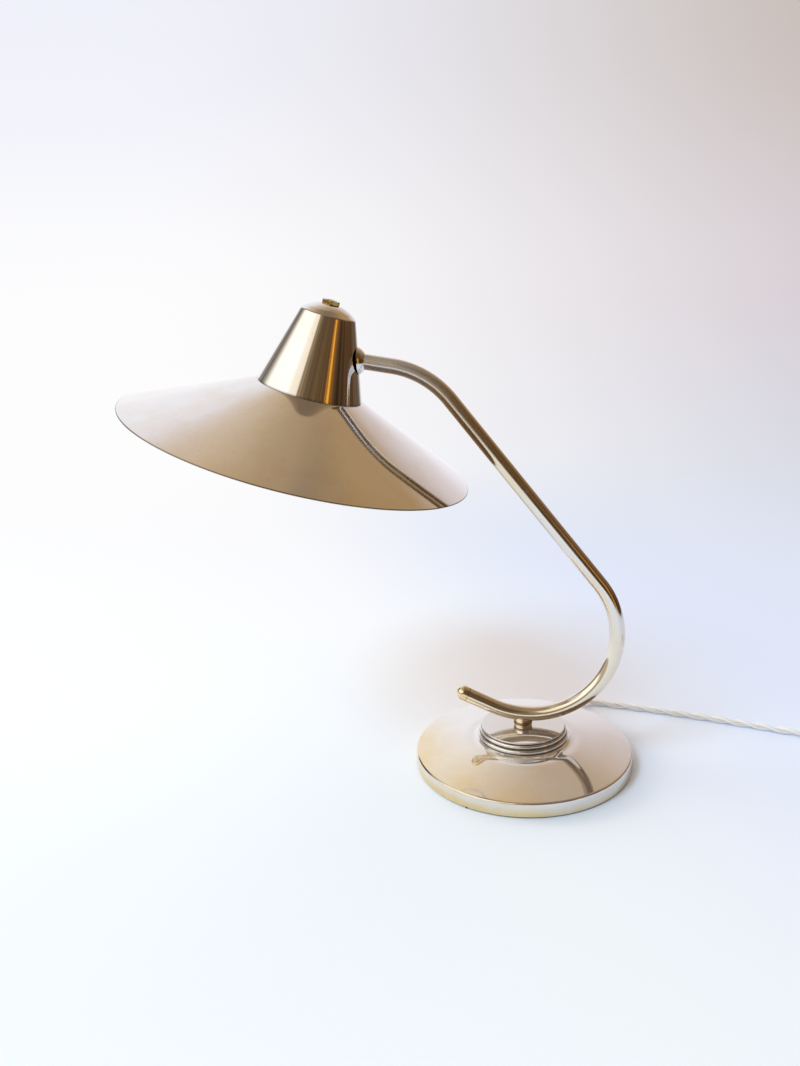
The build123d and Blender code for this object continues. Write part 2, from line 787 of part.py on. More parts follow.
with BuildPart() as bulb_cap:
    with BuildSketch(head_section):
        with BuildLine():
            Polyline(
                (0, bulb_neck_height),
                (bulb_screw_radius, bulb_neck_height),
                (bulb_screw_radius, bulb_neck_height + bulb_screw_height),
                (bulb_tip_radius, bulb_tip_top),
                (0, bulb_tip_top),
                close=True,
            )
        make_face()
    revolve(axis=head_axis)
save(bulb_cap, "bulb_cap")

# Cord heights: on the table, and lifted by the tie under the coil
cord_on_table = cord_radius
cord_lifted = tie_stand + tie_thickness + tie_gap + cord_radius


def blend_radii(points):
    """Largest radius at each corner that leaves a straight between neighbouring arcs."""
    radii = []
    for before, corner, after in zip(points, points[1:], points[2:]):
        first = corner - before
        second = after - corner
        turn = radians(first.get_angle(second))
        radii.append(arc_run_share * min(first.length, second.length) / tan(turn / 2))
    return radii


def tube_report(name, part, length):
    """Print a tube's volume against section times length."""
    print(name, "length", round(length, 1), "volume share", round(part.volume / (pi * cord_radius**2 * length), 4))


# Free stretch of cord from the grommet to the switch
lead_start = exit_direction * grommet_face + Vector(0, 0, exit_height)
lead_second = lead_start + exit_direction * lead_first_run
drop = exit_height - cord_on_table
lead_heights = [exit_height - drop * share for share in lead_drop_shares]
lead_heights += [cord_on_table] * (len(lead_route) - len(lead_drop_shares))
switch_way = (Vector(*lead_last_points[1]) - Vector(*lead_last_points[0])).normalized()
lead_points = [lead_start, lead_second]
lead_points += [Vector(x, y, height) for (x, y), height in zip(lead_route, lead_heights)]
lead_points += [Vector(*lead_last_points[0], cord_on_table), Vector(*lead_last_points[1], cord_lifted)]
switch_entry = lead_points[-1] + switch_way * switch_gap
lead_points += [switch_entry]
lead_radii = blend_radii(lead_points)
with BuildPart() as cord_lead:
    with BuildLine() as lead_line:
        FilletPolyline(*lead_points, radius=lead_radii)
    with BuildSketch(Plane(origin=lead_start, z_dir=exit_direction)):
        Circle(cord_radius)
    sweep()
save(cord_lead, "cord_lead")
print("cord_lead radii", [round(radius, 1) for radius in lead_radii])
tube_report("cord_lead", cord_lead.part, lead_line.wire().length)

# Inline switch: two shells, a rocker on a pin, two screws from below
switch_middle = switch_entry + switch_way * (switch_length / 2)
switch_floor = Plane(origin=(switch_middle.X, switch_middle.Y, 0), x_dir=switch_way, z_dir=(0, 0, 1))
switch_side = switch_floor.y_dir
switch_height = switch_lower_height + switch_upper_height
rocker_height = switch_height - rocker_pivot_drop
rocker_pivot = Vector(switch_middle.X, switch_middle.Y, rocker_height)
rocker_plane = Plane(origin=rocker_pivot, x_dir=switch_way, z_dir=-switch_side)
screw_offsets = [-switch_screw_offset, switch_screw_offset]

with BuildPart() as switch_lower_shell:
    with BuildSketch(switch_floor):
        RectangleRounded(switch_length, switch_width, switch_corner_radius)
    extrude(amount=switch_lower_height)
    with BuildSketch(switch_floor):
        with Locations([(offset_x, 0) for offset_x in screw_offsets]):
            Circle(switch_screw_head_radius)
    extrude(amount=switch_screw_sink + switch_screw_head_height, mode=Mode.SUBTRACT)
    with BuildSketch(switch_floor):
        with Locations([(offset_x, 0) for offset_x in screw_offsets]):
            Circle(switch_screw_radius)
    extrude(amount=switch_lower_height, mode=Mode.SUBTRACT)
save(switch_lower_shell, "switch_lower_shell")

with BuildPart() as switch_upper_shell:
    with BuildSketch(switch_floor.offset(switch_lower_height)):
        RectangleRounded(switch_length, switch_width, switch_corner_radius)
    extrude(amount=switch_upper_height)
    fillet(switch_upper_shell.faces().sort_by(Axis.Z)[-1].edges(), switch_edge_radius)
    with BuildSketch(switch_floor.offset(switch_height)):
        Rectangle(rocker_length + 2 * rocker_slot_gap, rocker_width + 2 * rocker_slot_side_gap)
    extrude(amount=-rocker_slot_depth, mode=Mode.SUBTRACT)
    with BuildSketch(rocker_plane):
        Circle(rocker_pin_radius + running_clearance)
    extrude(amount=rocker_pin_length / 2 + running_clearance, both=True, mode=Mode.SUBTRACT)
    with BuildSketch(switch_floor.offset(switch_lower_height)):
        with Locations([(offset_x, 0) for offset_x in screw_offsets]):
            Circle(switch_screw_radius)
    extrude(amount=switch_screw_sink + switch_screw_length - switch_lower_height, mode=Mode.SUBTRACT)
save(switch_upper_shell, "switch_upper_shell")

with BuildPart() as switch_screws:
    with BuildSketch(switch_floor.offset(switch_screw_sink)):
        with Locations([(offset_x, 0) for offset_x in screw_offsets]):
            Circle(switch_screw_head_radius)
    extrude(amount=switch_screw_head_height)
    with BuildSketch(switch_floor.offset(switch_screw_sink)):
        with Locations([(offset_x, 0) for offset_x in screw_offsets]):
            Circle(switch_screw_radius)
    extrude(amount=switch_screw_length)
save(switch_screws, "switch_screws")

rocker_way = switch_way * cos(radians(rocker_rest_angle)) + Vector(0, 0, sin(radians(rocker_rest_angle)))
rocker_tilted = Plane(origin=rocker_pivot, x_dir=rocker_way, z_dir=-switch_side)
with BuildPart() as switch_rocker:
    with BuildSketch(rocker_tilted):
        with BuildLine():
            Polyline(
                (-rocker_length / 2, rocker_end_low),
                (-rocker_keel_width / 2, -rocker_keel_depth),
                (rocker_keel_width / 2, -rocker_keel_depth),
                (rocker_length / 2, rocker_end_low),
                (rocker_length / 2, rocker_end_high),
                (0, rocker_middle_high),
                (-rocker_length / 2, rocker_end_high),
                close=True,
            )
        make_face()
        Circle(rocker_pin_radius, mode=Mode.SUBTRACT)
    extrude(amount=rocker_width / 2, both=True)
save(switch_rocker, "switch_rocker")

with BuildPart() as rocker_pin:
    with BuildSketch(rocker_plane):
        Circle(rocker_pin_radius)
    extrude(amount=rocker_pin_length / 2, both=True)
save(rocker_pin, "rocker_pin")

# Coil: in on the table, up at the inside, out again on top
switch_exit = switch_entry + switch_way * switch_length
coil_start = switch_exit + switch_way * coil_lead_in
coil_outer_radius = coil_middle_radius + coil_pitch * coil_turns_in / 2
coil_inner_radius = coil_outer_radius - coil_pitch * coil_turns_in
spiral_slant = degrees(atan(coil_pitch / (2 * pi * coil_outer_radius)))
switch_angle = degrees(atan2(switch_way.Y, switch_way.X))
coil_start_angle = switch_angle + 90 + spiral_slant
coil_centre = coil_start - Vector(
    coil_outer_radius * cos(radians(coil_start_angle)), coil_outer_radius * sin(radians(coil_start_angle)), 0
)
coil_turns = coil_turns_in + coil_climb_turns + coil_turns_out


def coil_point(turn):
    """Point of the coil's centre line after a number of turns, clockwise from above."""
    climb = min(max((turn - coil_turns_in) / coil_climb_turns, 0), 1)
    inward = min(turn, coil_turns_in)
    outward = max(turn - coil_turns_in - coil_climb_turns, 0)
    reversal = coil_climb_turns * climb * (1 - climb)
    radius = coil_outer_radius - coil_pitch * (inward + reversal - outward)
    angle = radians(coil_start_angle - 360 * turn)
    rise = coil_pitch * (climb - sin(2 * pi * climb) / (2 * pi))
    return coil_centre + Vector(radius * cos(angle), radius * sin(angle), rise)


def coil_tangent(turn):
    """Unit tangent of the coil from a short central step; the two ends step one way only."""
    step_share = 1e-4
    before = max(turn - step_share, 0)
    after = min(turn + step_share, coil_turns)
    return (coil_point(after) - coil_point(before)).normalized()


def biarc_joint(start, start_way, end, end_way):
    """Meeting point of the two arcs that join two points with given tangents."""
    chord = end - start
    spread = 2 * (start_way.dot(end_way) - 1)
    lean = chord.dot(start_way + end_way)
    reach = (lean - sqrt(lean**2 - spread * chord.dot(chord))) / spread
    return (start + start_way * reach + end - end_way * reach) / 2


coil_spans = round(coil_turns * coil_spans_per_turn)
coil_stations = [coil_turns * k / coil_spans for k in range(coil_spans + 1)]
coil_end = coil_point(coil_turns)
coil_end_way = coil_tangent(coil_turns)
with BuildPart() as cord_coil:
    with BuildLine() as coil_line:
        last = Line(switch_exit, coil_start)
        for first_turn, next_turn in zip(coil_stations, coil_stations[1:]):
            span_end = coil_point(next_turn)
            joint = biarc_joint(last @ 1, last % 1, span_end, coil_tangent(next_turn))
            near_arc = TangentArc(last @ 1, joint, tangent=last % 1)
            last = TangentArc(joint, span_end, tangent=near_arc % 1)
        coil_tip = last @ 1 + (last % 1) * coil_lead_out
        Line(last @ 1, coil_tip)
    with BuildSketch(Plane(origin=switch_exit, z_dir=switch_way)):
        Circle(cord_radius)
    sweep()
    coil_tip_way = last % 1
save(cord_coil, "cord_coil")
coil_wire = coil_line.wire()
tube_report("cord_coil", cord_coil.part, coil_wire.length)

# Least gap of the coil to itself, on points along the centre line
gap_step = cord_radius
gap_count = int(coil_wire.length / gap_step)
gap_points = [coil_wire @ (k / gap_count) for k in range(gap_count + 1)]
gap_skip = 8
least_gap = min(
    (first - second).length
    for k, first in enumerate(gap_points)
    for second in gap_points[k + gap_skip :]
)
print("cord_coil least gap to itself", round(least_gap - 2 * cord_radius, 2))

# Band round the coil
tie_way = Vector(cos(radians(tie_angle)), sin(radians(tie_angle)), 0)
tie_radii = []
for turn in range(1, 4 * coil_spans):
    angle_turn = turn + (coil_start_angle - tie_angle) / 360 - 2
    if 0 <= angle_turn <= coil_turns:
        spot = coil_point(angle_turn) - coil_centre
        tie_radii.append(hypot(spot.X, spot.Y))
tie_near = min(tie_radii) - cord_radius - tie_side_gap
tie_far = max(tie_radii) + cord_radius + tie_side_gap
tie_floor = tie_stand + tie_thickness
tie_inner_width = tie_far - tie_near
tie_inner_height = 2 * tie_gap + 2 * cord_radius + coil_pitch
tie_middle = tie_way * ((tie_near + tie_far) / 2) + Vector(coil_centre.X, coil_centre.Y, 0)
tie_centre = Vector(tie_middle.X, tie_middle.Y, tie_floor + tie_inner_height / 2)
with BuildPart() as coil_tie:
    with BuildSketch(Plane(origin=tie_centre, x_dir=tie_way, z_dir=tie_way.rotate(Axis.Z, 90))):
        RectangleRounded(
            tie_inner_width + 2 * tie_thickness,
            tie_inner_height + 2 * tie_thickness,
            tie_corner_radius + tie_thickness,
        )
        RectangleRounded(tie_inner_width, tie_inner_height, tie_corner_radius, mode=Mode.SUBTRACT)
    extrude(amount=tie_width / 2, both=True)
save(coil_tie, "coil_tie")

# Tail of the cord down to the plug
plug_height = plug_thickness / 2
tail_fall = coil_tip.Z - plug_height
tail_ways = [Vector(coil_tip_way.X, coil_tip_way.Y, 0).normalized()]
tail_ways.append(tail_ways[0].rotate(Axis.Z, tail_turn))
tail_ways.append(tail_ways[1].rotate(Axis.Z, tail_turn))
tail_points = [coil_tip]
tail_points.append(tail_points[0] + coil_tip_way * tail_runs[0])
tail_points.append(tail_points[1] + tail_ways[1] * tail_runs[1] - Vector(0, 0, tail_fall))
tail_points.append(tail_points[2] + tail_ways[2] * tail_runs[2])
tail_radii = blend_radii(tail_points)
with BuildPart() as cord_tail:
    with BuildLine() as tail_line:
        FilletPolyline(*tail_points, radius=tail_radii)
    with BuildSketch(Plane(origin=tail_points[0], z_dir=coil_tip_way)):
        Circle(cord_radius)
    sweep()
save(cord_tail, "cord_tail")
print("cord_tail radii", [round(radius, 1) for radius in tail_radii])
tube_report("cord_tail", cord_tail.part, tail_line.wire().length)

# Flat two-pin plug with its tapered sleeve
plug_way = tail_ways[2]
plug_root = tail_points[-1]
plug_sheet = Plane(origin=plug_root, x_dir=plug_way, z_dir=(0, 0, 1))
plug_nose = plug_sleeve_length + plug_shoulder_length + plug_body_length
with BuildPart() as plug_body:
    with BuildSketch(plug_sheet):
        with BuildLine():
            Polyline(
                (plug_sleeve_length, -plug_waist_width / 2),
                (plug_sleeve_length + plug_shoulder_length, -plug_body_width / 2),
                (plug_nose, -plug_front_width / 2),
                (plug_nose, plug_front_width / 2),
                (plug_sleeve_length + plug_shoulder_length, plug_body_width / 2),
                (plug_sleeve_length, plug_waist_width / 2),
                close=True,
            )
        make_face()
    extrude(amount=plug_thickness / 2, both=True)
    fillet(plug_body.edges(), plug_edge_radius)
    with BuildSketch(Plane(origin=plug_root, x_dir=plug_way, z_dir=plug_way.cross(Vector(0, 0, 1)))):
        with BuildLine():
            Polyline(
                (0, 0),
                (0, plug_sleeve_radius),
                (plug_sleeve_length + plug_shoulder_length / 2, plug_sleeve_root_radius),
                (plug_sleeve_length + plug_shoulder_length / 2, 0),
                close=True,
            )
        make_face()
    revolve(axis=Axis(plug_root, plug_way))
save(plug_body, "plug_body")

with BuildPart() as plug_pins:
    with BuildSketch(Plane(origin=plug_root + plug_way * plug_nose, x_dir=(0, 0, 1), z_dir=plug_way)):
        with Locations((0, -pin_spacing / 2), (0, pin_spacing / 2)):
            Circle(pin_radius)
    extrude(amount=pin_length)
    pin_tips = plug_pins.edges().group_by(Axis(plug_root, plug_way))[-1]
    fillet(pin_tips, pin_tip_radius)
save(plug_pins, "plug_pins")

switch_part = switch_length
cord_total = lead_line.wire().length + coil_wire.length + tail_line.wire().length + switch_part
print("cord length in all", round(cord_total, 1), "with the switch")
print("head origin", tuple(round(v, 2) for v in head_origin), "arm tip", tuple(round(v, 2) for v in arm_tip))
print("arm heading", tuple(round(v, 5) for v in arm_heading), "tube foot", round(tube_foot, 2))
print("rocker pivot", tuple(round(v, 2) for v in rocker_pivot), "side", tuple(round(v, 5) for v in switch_side))
print("coil centre", tuple(round(v, 2) for v in coil_centre), "plug root", tuple(round(v, 2) for v in plug_root))
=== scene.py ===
"""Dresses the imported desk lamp: plated foot, bent arm, conical head, cloth cord, floor, light and camera."""
from math import atan, atan2, cos, hypot, pi, radians, sin, sqrt, tan

import bpy
import numpy as np
from mathutils import Matrix


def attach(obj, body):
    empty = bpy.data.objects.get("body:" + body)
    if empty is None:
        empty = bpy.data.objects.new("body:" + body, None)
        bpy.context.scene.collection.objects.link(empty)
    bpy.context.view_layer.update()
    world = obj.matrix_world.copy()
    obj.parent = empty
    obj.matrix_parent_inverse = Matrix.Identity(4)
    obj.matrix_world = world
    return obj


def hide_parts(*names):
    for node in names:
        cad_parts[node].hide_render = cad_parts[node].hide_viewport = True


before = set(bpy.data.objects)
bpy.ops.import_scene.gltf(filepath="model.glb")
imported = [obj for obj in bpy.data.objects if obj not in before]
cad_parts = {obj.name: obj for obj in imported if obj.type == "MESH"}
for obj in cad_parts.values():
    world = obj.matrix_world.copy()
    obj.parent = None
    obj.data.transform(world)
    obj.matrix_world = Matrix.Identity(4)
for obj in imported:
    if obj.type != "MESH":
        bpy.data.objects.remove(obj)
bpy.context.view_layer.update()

bl_info = {
    "name": "Desk lamp with a bent tube arm",
    "version": (1, 0, 0),
    "blender": (4, 5, 0),
    "location": "View3D > Sidebar > Desk lamp",
    "description": "Makes the visible pieces, finishes and studio of a plated desk lamp",
    "category": "Object",
}

MM = 0.001
UP = np.array([0.0, 0.0, 1.0])
ACROSS = np.array([0.0, 1.0, 0.0])
COIL_MIDDLE = np.array([336.41, -29.34, 4.65]) * MM
TIP_RING = 0.05 * MM  # Radius of the small ring that stands for an outline's point on the axis
CREASE, EDGE = 0.2 * MM, 0.4 * MM  # Roundings of inner creases and of small outer edges
ROD_PLAY = 0.08 * MM  # Play of the threaded rods in their holes
STRAND_SHARE = 0.505  # A strand's radius as a share of the cord's
TO_THE_END = 1.0  # Metres along a piece, past the end of each
# Settings of nodes: a range that eases in and out, a product and a mix of colours. A range's inputs are its value,
# the two ends that it comes from and the two ends that it goes to.
SMOOTH = {"interpolation_type": "SMOOTHSTEP"}
TIMES = {"operation": "MULTIPLY"}
COLOUR = {"data_type": "RGBA"}


def linear(code):
    """Linear RGB of an sRGB hex value, by the standard's power curve, one channel at a time."""
    share = np.array([int(code[k:k + 2], 16) for k in (1, 3, 5)]) / 255
    return tuple(np.where(share <= 0.04045, share / 12.92, ((share + 0.055) / 1.055) ** 2.4))


def length(name, description, millimetres):
    """A length property, written in millimetres and kept in metres."""
    return bpy.props.FloatProperty(
        name=name, description=description, default=millimetres * MM,
        subtype="DISTANCE", unit="LENGTH", precision=5,
    )


def turn(name, description, degrees):
    """An angle property, written in degrees and kept in radians."""
    return bpy.props.FloatProperty(
        name=name, description=description, default=radians(degrees), subtype="ANGLE", unit="ROTATION",
    )


def tint(name, description, code):
    """A colour property, written as an sRGB hex value and kept linear."""
    return bpy.props.FloatVectorProperty(
        name=name, description=description, default=linear(code), size=3, subtype="COLOR", min=0, max=1,
    )


class FootSizes(bpy.types.PropertyGroup):
    """Spun foot, its felt, the stepped collar and the swivel on it."""
    radius: length("Foot radius", "Outer radius of the foot", 95.0)
    skirt_lift: length("Skirt lift", "Gap between the table and the foot's lower edge", 1.0)
    rim_height: length("Rim height", "Height of the foot's outer edge", 13.3)
    crown_height: length("Crown height", "Height of the flat crown under the collar", 25.0)
    crown_radius: length("Crown radius", "Radius of the flat crown", 40.2)
    cove_width: length("Cove width", "Width of the shallow cove round the collar", 13.0)
    cove_depth: length("Cove depth", "Depth of that cove below the cone", 0.8)
    wall: length("Wall", "Sheet thickness of the foot", 1.2)
    edge: length("Edge radius", "Rounding of the foot's outer edge", 2.0)
    felt_radius: length("Felt radius", "Radius of the felt under the foot", 92.0)
    felt_thickness: length("Felt thickness", "Thickness of the felt", 2.0)
    lip_radius: length("Lip radius", "Radius of the collar's lower half-round", 39.4)
    lip_height: length("Lip height", "Height of the collar's lower half-round", 3.9)
    ring_radius: length("Ring radius", "Radius of the collar's upper half-round", 38.0)
    ring_height: length("Ring height", "Height of the collar's upper half-round", 3.7)
    groove_depth: length("Groove depth", "Depth of the grooves between the half-rounds", 1.3)
    groove_height: length("Groove height", "Height of these grooves", 0.5)
    disc_radius: length("Disc radius", "Radius of the collar's flat polished top", 36.5)
    disc_height: length("Disc height", "Height of that top's edge", 1.3)
    disc_edge: length("Disc edge", "Rounding of that top's edge", 0.6)
    washer_radius: length("Washer radius", "Radius of the plated washer under the arm", 7.7)
    washer_thickness: length("Washer thickness", "Thickness of that washer", 1.5)
    brass_radius: length("Brass ring radius", "Radius of the brass friction ring", 8.2)
    brass_thickness: length("Brass ring thickness", "Thickness of the friction ring", 1.9)
    stud_radius: length("Stud radius", "Radius of the saddle under the tube", 7.3)
    stud_gap: length("Stud gap", "Running gap over the friction ring", 0.15)
    stud_web: length("Stud web", "Metal between that gap and the tube", 0.3)


class ArmSizes(bpy.types.PropertyGroup):
    """Bent tube from the rounded tail to the head."""
    radius: length("Tube radius", "Outer radius of the arm's tube", 6.5)
    tail_angle: turn("Tail angle", "Rise of the tail over the table", 25.6)
    tail_length: length("Tail length", "Straight part of the tail", 23.0)
    bow_radius: length("Bow radius", "Bend radius of the large bow", 75.3)
    bow_offset: length("Bow offset", "Distance of the bow's centre from the swivel", 5.0)
    run_angle: turn("Run angle", "Slope of the long straight run", 52.4)
    run_length: length("Run length", "Length of the long straight run", 199.2)
    bend_radius: length("Bend radius", "Bend radius below the head", 76.0)
    end_angle: turn("End angle", "Slope of the tube where it meets the head", 10.44)
    end_run: length("End run", "Straight part in front of the head", 27.65)
    tube_stop: length("Tube stop", "Distance of the tube's end from the cap", 3.0)
    cap_length: length("Tail cap length", "Length of the rounded plug in the tail", 10.3)


class HeadSizes(bpy.types.PropertyGroup):
    """Shade, conical cap, rosette and the nut on top."""
    lean: turn("Head lean", "Lean of the head's axis in the arm's plane", 17.5)
    rim_radius: length("Rim radius", "Radius of the shade's rim", 149.0)
    land_radius: length("Land radius", "Radius of the shade's flat top", 45.3)
    shade_height: length("Shade height", "Height of the shade's cone", 45.9)
    shade_wall: length("Shade wall", "Sheet thickness of the shade", 1.0)
    hole_radius: length("Hole radius", "Radius of the lampholder's hole in the shade", 20.2)
    foot_radius: length("Cap foot radius", "Radius of the cap where it meets the shade", 44.3)
    shoulder_radius: length("Cap shoulder radius", "Radius of the cap at its upper edge", 23.0)
    flank_height: length("Cap flank height", "Height of the cap's cone", 64.0)
    dome_rise: length("Dome rise", "Height of the cap's domed top", 8.6)
    shoulder_edge: length("Shoulder edge", "Rounding of the cap's upper edge", 2.5)
    flat_radius: length("Flat radius", "Radius of the seat under the nut", 9.0)
    cap_wall: length("Cap wall", "Sheet thickness of the cap", 1.0)
    entry_height: length("Entry height", "Height of the arm's entry over the cap's foot", 34.0)
    rosette_radius: length("Rosette radius", "Radius of the domed washer on the flank", 11.4)
    rosette_sphere: length("Rosette sphere", "Sphere radius of that washer's dome", 12.7)
    nut_width: length("Nut width", "Width across flats of the thin nuts", 14.0)
    nut_thickness: length("Nut thickness", "Thickness of the thin nuts", 3.0)
    rod_radius: length("Rod radius", "Radius of the hollow threaded rod", 5.0)
    rod_bore: length("Rod bore", "Bore radius of that rod", 3.3)
    rod_show: length("Rod show", "Part of the rod that stands over the nut", 0.2)
    nut_turn: turn("Nut turn", "Turn of the top nut about the head's axis", 10.0)
    nut_chamfer: length("Nut chamfer", "Chamfer on the nut's corners", 0.7)


class HolderSizes(bpy.types.PropertyGroup):
    """Lampholder and bulb, heights from the plane of the shade's rim."""
    mouth_height: length("Mouth height", "Height of the sleeve's lower edge", 20.0)
    sleeve_radius: length("Sleeve radius", "Outer radius of the sleeve", 19.8)
    sleeve_wall: length("Sleeve wall", "Wall of the sleeve", 2.0)
    shoulder_radius: length("Shoulder radius", "Radius of the sleeve's shoulder on the shade", 23.5)
    shoulder_height: length("Shoulder height", "Height of that shoulder", 3.0)
    ring_radius: length("Shade ring radius", "Outer radius of the threaded ring", 26.0)
    ring_height: length("Shade ring height", "Height of the threaded ring", 4.6)
    globe_radius: length("Globe radius", "Radius of the bulb", 22.5)
    globe_height: length("Globe height", "Height of the bulb's middle", -8.0)
    neck_radius: length("Neck radius", "Radius of the bulb's neck", 12.4)
    neck_height: length("Neck height", "Height of the neck's upper edge", 17.5)
    screw_radius: length("Screw radius", "Radius of the bulb's screw cap", 13.2)
    screw_height: length("Screw height", "Height of the screw cap", 20.0)
    tip_radius: length("Tip radius", "Radius of the screw cap's contact", 4.8)
    tip_height: length("Tip height", "Height of that contact", 38.2)
    screw_pitch: length("Screw pitch", "Pitch of the rolled thread", 3.6)


class CordSizes(bpy.types.PropertyGroup):
    """Twisted two-strand cloth cord, its coil and tie."""
    radius: length("Cord radius", "Radius round both strands", 3.25)
    twist: length("Twist", "Length of one full turn of the two strands", 38.0)
    lead_length: length("Lead length", "Cord between the foot and the switch", 248.3)
    rest_length: length("Rest length", "Cord between the switch and the plug", 1442.7)
    coil_radius: length("Coil radius", "Middle radius of the outer turn", 46.65)
    coil_pitch: length("Coil pitch", "Distance of neighbouring turns", 7.1)
    tie_width: length("Tie width", "Width of the tape round the coil", 8.0)
    tie_thickness: length("Tie thickness", "Thickness of that tape", 0.8)


class Finishes(bpy.types.PropertyGroup):
    """Colours of the metals, the cloth and the mouldings."""
    nickel: tint("Nickel", "Polished nickel plate", "#E7E4E1")
    nickel_warm: tint("Warm nickel", "Nickel where the plate is thin", "#DDCFB6")
    nickel_worn: tint("Worn nickel", "Brass that shows through thin plate", "#E8D09A")
    tarnish: tint("Tarnish", "Brown film in scores and at edges", "#6B5A3C")
    brass: tint("Brass", "Bare brass", "#C9A45A")
    brass_dark: tint("Dark brass", "Brass with its own patina", "#5F4521")
    steel: tint("Steel", "Zinc plated steel", "#B9BCBD")
    iron: tint("Cast iron", "Painted cast iron", "#2E2D2B")
    felt: tint("Felt", "Dark green wool felt", "#26302A")
    cloth: tint("Cloth", "White rayon braid", "#FFFEFA")
    # Cloth shade is painted shade between the braid's threads, and also a plain second tone of the rocker and the tape
    cloth_shade: tint("Cloth shade", "Threads that lie deeper in the braid", "#E6E3DD")
    ivory: tint("Ivory", "Ivory urea moulding", "#EDE6D3")
    porcelain: tint("Porcelain", "Glazed porcelain", "#EFEDE6")
    opal: tint("Opal glass", "White opal glass", "#F4F1EA")
    tape: tint("Tape", "Cotton tape round the coil", "#CFC8BA")


class StudioSettings(bpy.types.PropertyGroup):
    """Camera, floor and light."""
    camera_place: bpy.props.FloatVectorProperty(
        name="Camera place", description="Where the camera stands", size=3,
        default=(0.00592, -0.76922, 0.43520), subtype="XYZ", unit="LENGTH", precision=5,
    )
    camera_right: bpy.props.FloatVectorProperty(
        name="Camera right", description="Direction of the picture's width", size=3,
        default=(0.99093, 0.12768, -0.04199), subtype="DIRECTION",
    )
    camera_ahead: bpy.props.FloatVectorProperty(
        name="Camera ahead", description="Direction in which the camera looks", size=3,
        default=(-0.13433, 0.95158, -0.27650), subtype="DIRECTION",
    )
    focal: bpy.props.FloatProperty(
        name="Focal length", description="Focal length for a 36 mm wide frame", default=42.75, unit="CAMERA",
    )
    floor: tint("Floor", "Pale floor", "#F7FBFE")
    # Painted light falloff: the front floor is darker towards the camera; the far floor, the horizon and the far and
    # upper backdrops are darker away from the window
    floor_front_shade: tint("Front floor", "Floor towards the camera", "#F2F8FB")
    floor_far_shade: tint("Far floor", "Floor on the side away from the window", "#E3EDFF")
    horizon: tint("Horizon", "Where the floor runs into the backdrop, away from the window", "#CDD4E4")
    backdrop: tint("Backdrop", "Backdrop on the window's side", "#FDFDFE")
    backdrop_far_shade: tint("Far backdrop", "Backdrop on the side away from the window", "#C9BCC4")
    backdrop_up_shade: tint("Upper backdrop", "Backdrop high up on the window's side", "#F0F1FA")
    backdrop_top_shade: tint("Upper far backdrop", "Backdrop high up, away from the window", "#B6A494")
    window_power: bpy.props.FloatProperty(
        name="Window power", description="Power of the large soft lamp", default=71.0, min=0, unit="POWER",
    )
    window_colour: tint("Window colour", "Cool light of the soft lamp", "#B4E1FF")
    side_power: bpy.props.FloatProperty(
        name="Side power", description="Power of the low soft lamp on the left", default=110.0, min=0, unit="POWER",
    )
    side_colour: tint("Side colour", "White light of the low lamp", "#FFF8EC")
    ambient: bpy.props.FloatProperty(
        name="Ambient", description="Strength of the even light from all round", default=0.785, min=0,
    )
    ambient_colour: tint("Ambient colour", "Warm light from all round", "#FFEFE5")


class LampSettings(bpy.types.PropertyGroup):
    """All settings of the lamp."""
    foot: bpy.props.PointerProperty(type=FootSizes, name="Foot", description="Sizes of the foot")
    arm: bpy.props.PointerProperty(type=ArmSizes, name="Arm", description="Sizes of the arm")
    head: bpy.props.PointerProperty(type=HeadSizes, name="Head", description="Sizes of the head")
    holder: bpy.props.PointerProperty(type=HolderSizes, name="Lampholder", description="Sizes of the lampholder")
    cord: bpy.props.PointerProperty(type=CordSizes, name="Cord", description="Sizes of the cord")
    finish: bpy.props.PointerProperty(type=Finishes, name="Finishes", description="Colours of the finishes")
    studio: bpy.props.PointerProperty(type=StudioSettings, name="Studio", description="Camera, floor and light")


# Surfaces

def unit(vectors):
    """Vectors of length 1, along the last axis."""
    return vectors / np.linalg.norm(vectors, axis=-1, keepdims=True)


def distance(path):
    """Way along a path at each of its points."""
    return np.concatenate([[0], np.cumsum(np.linalg.norm(np.diff(path, axis=0), axis=1))])


def ring(sides):
    """Angles at even steps round a full turn."""
    return np.arange(sides) * 2 * np.pi / sides


def spokes(axis, right, sides):
    """Unit vectors round an axis: cos t right + sin t (axis x right)."""
    angles = ring(sides)[:, None]
    return np.cos(angles) * right + np.sin(angles) * np.cross(axis, right)


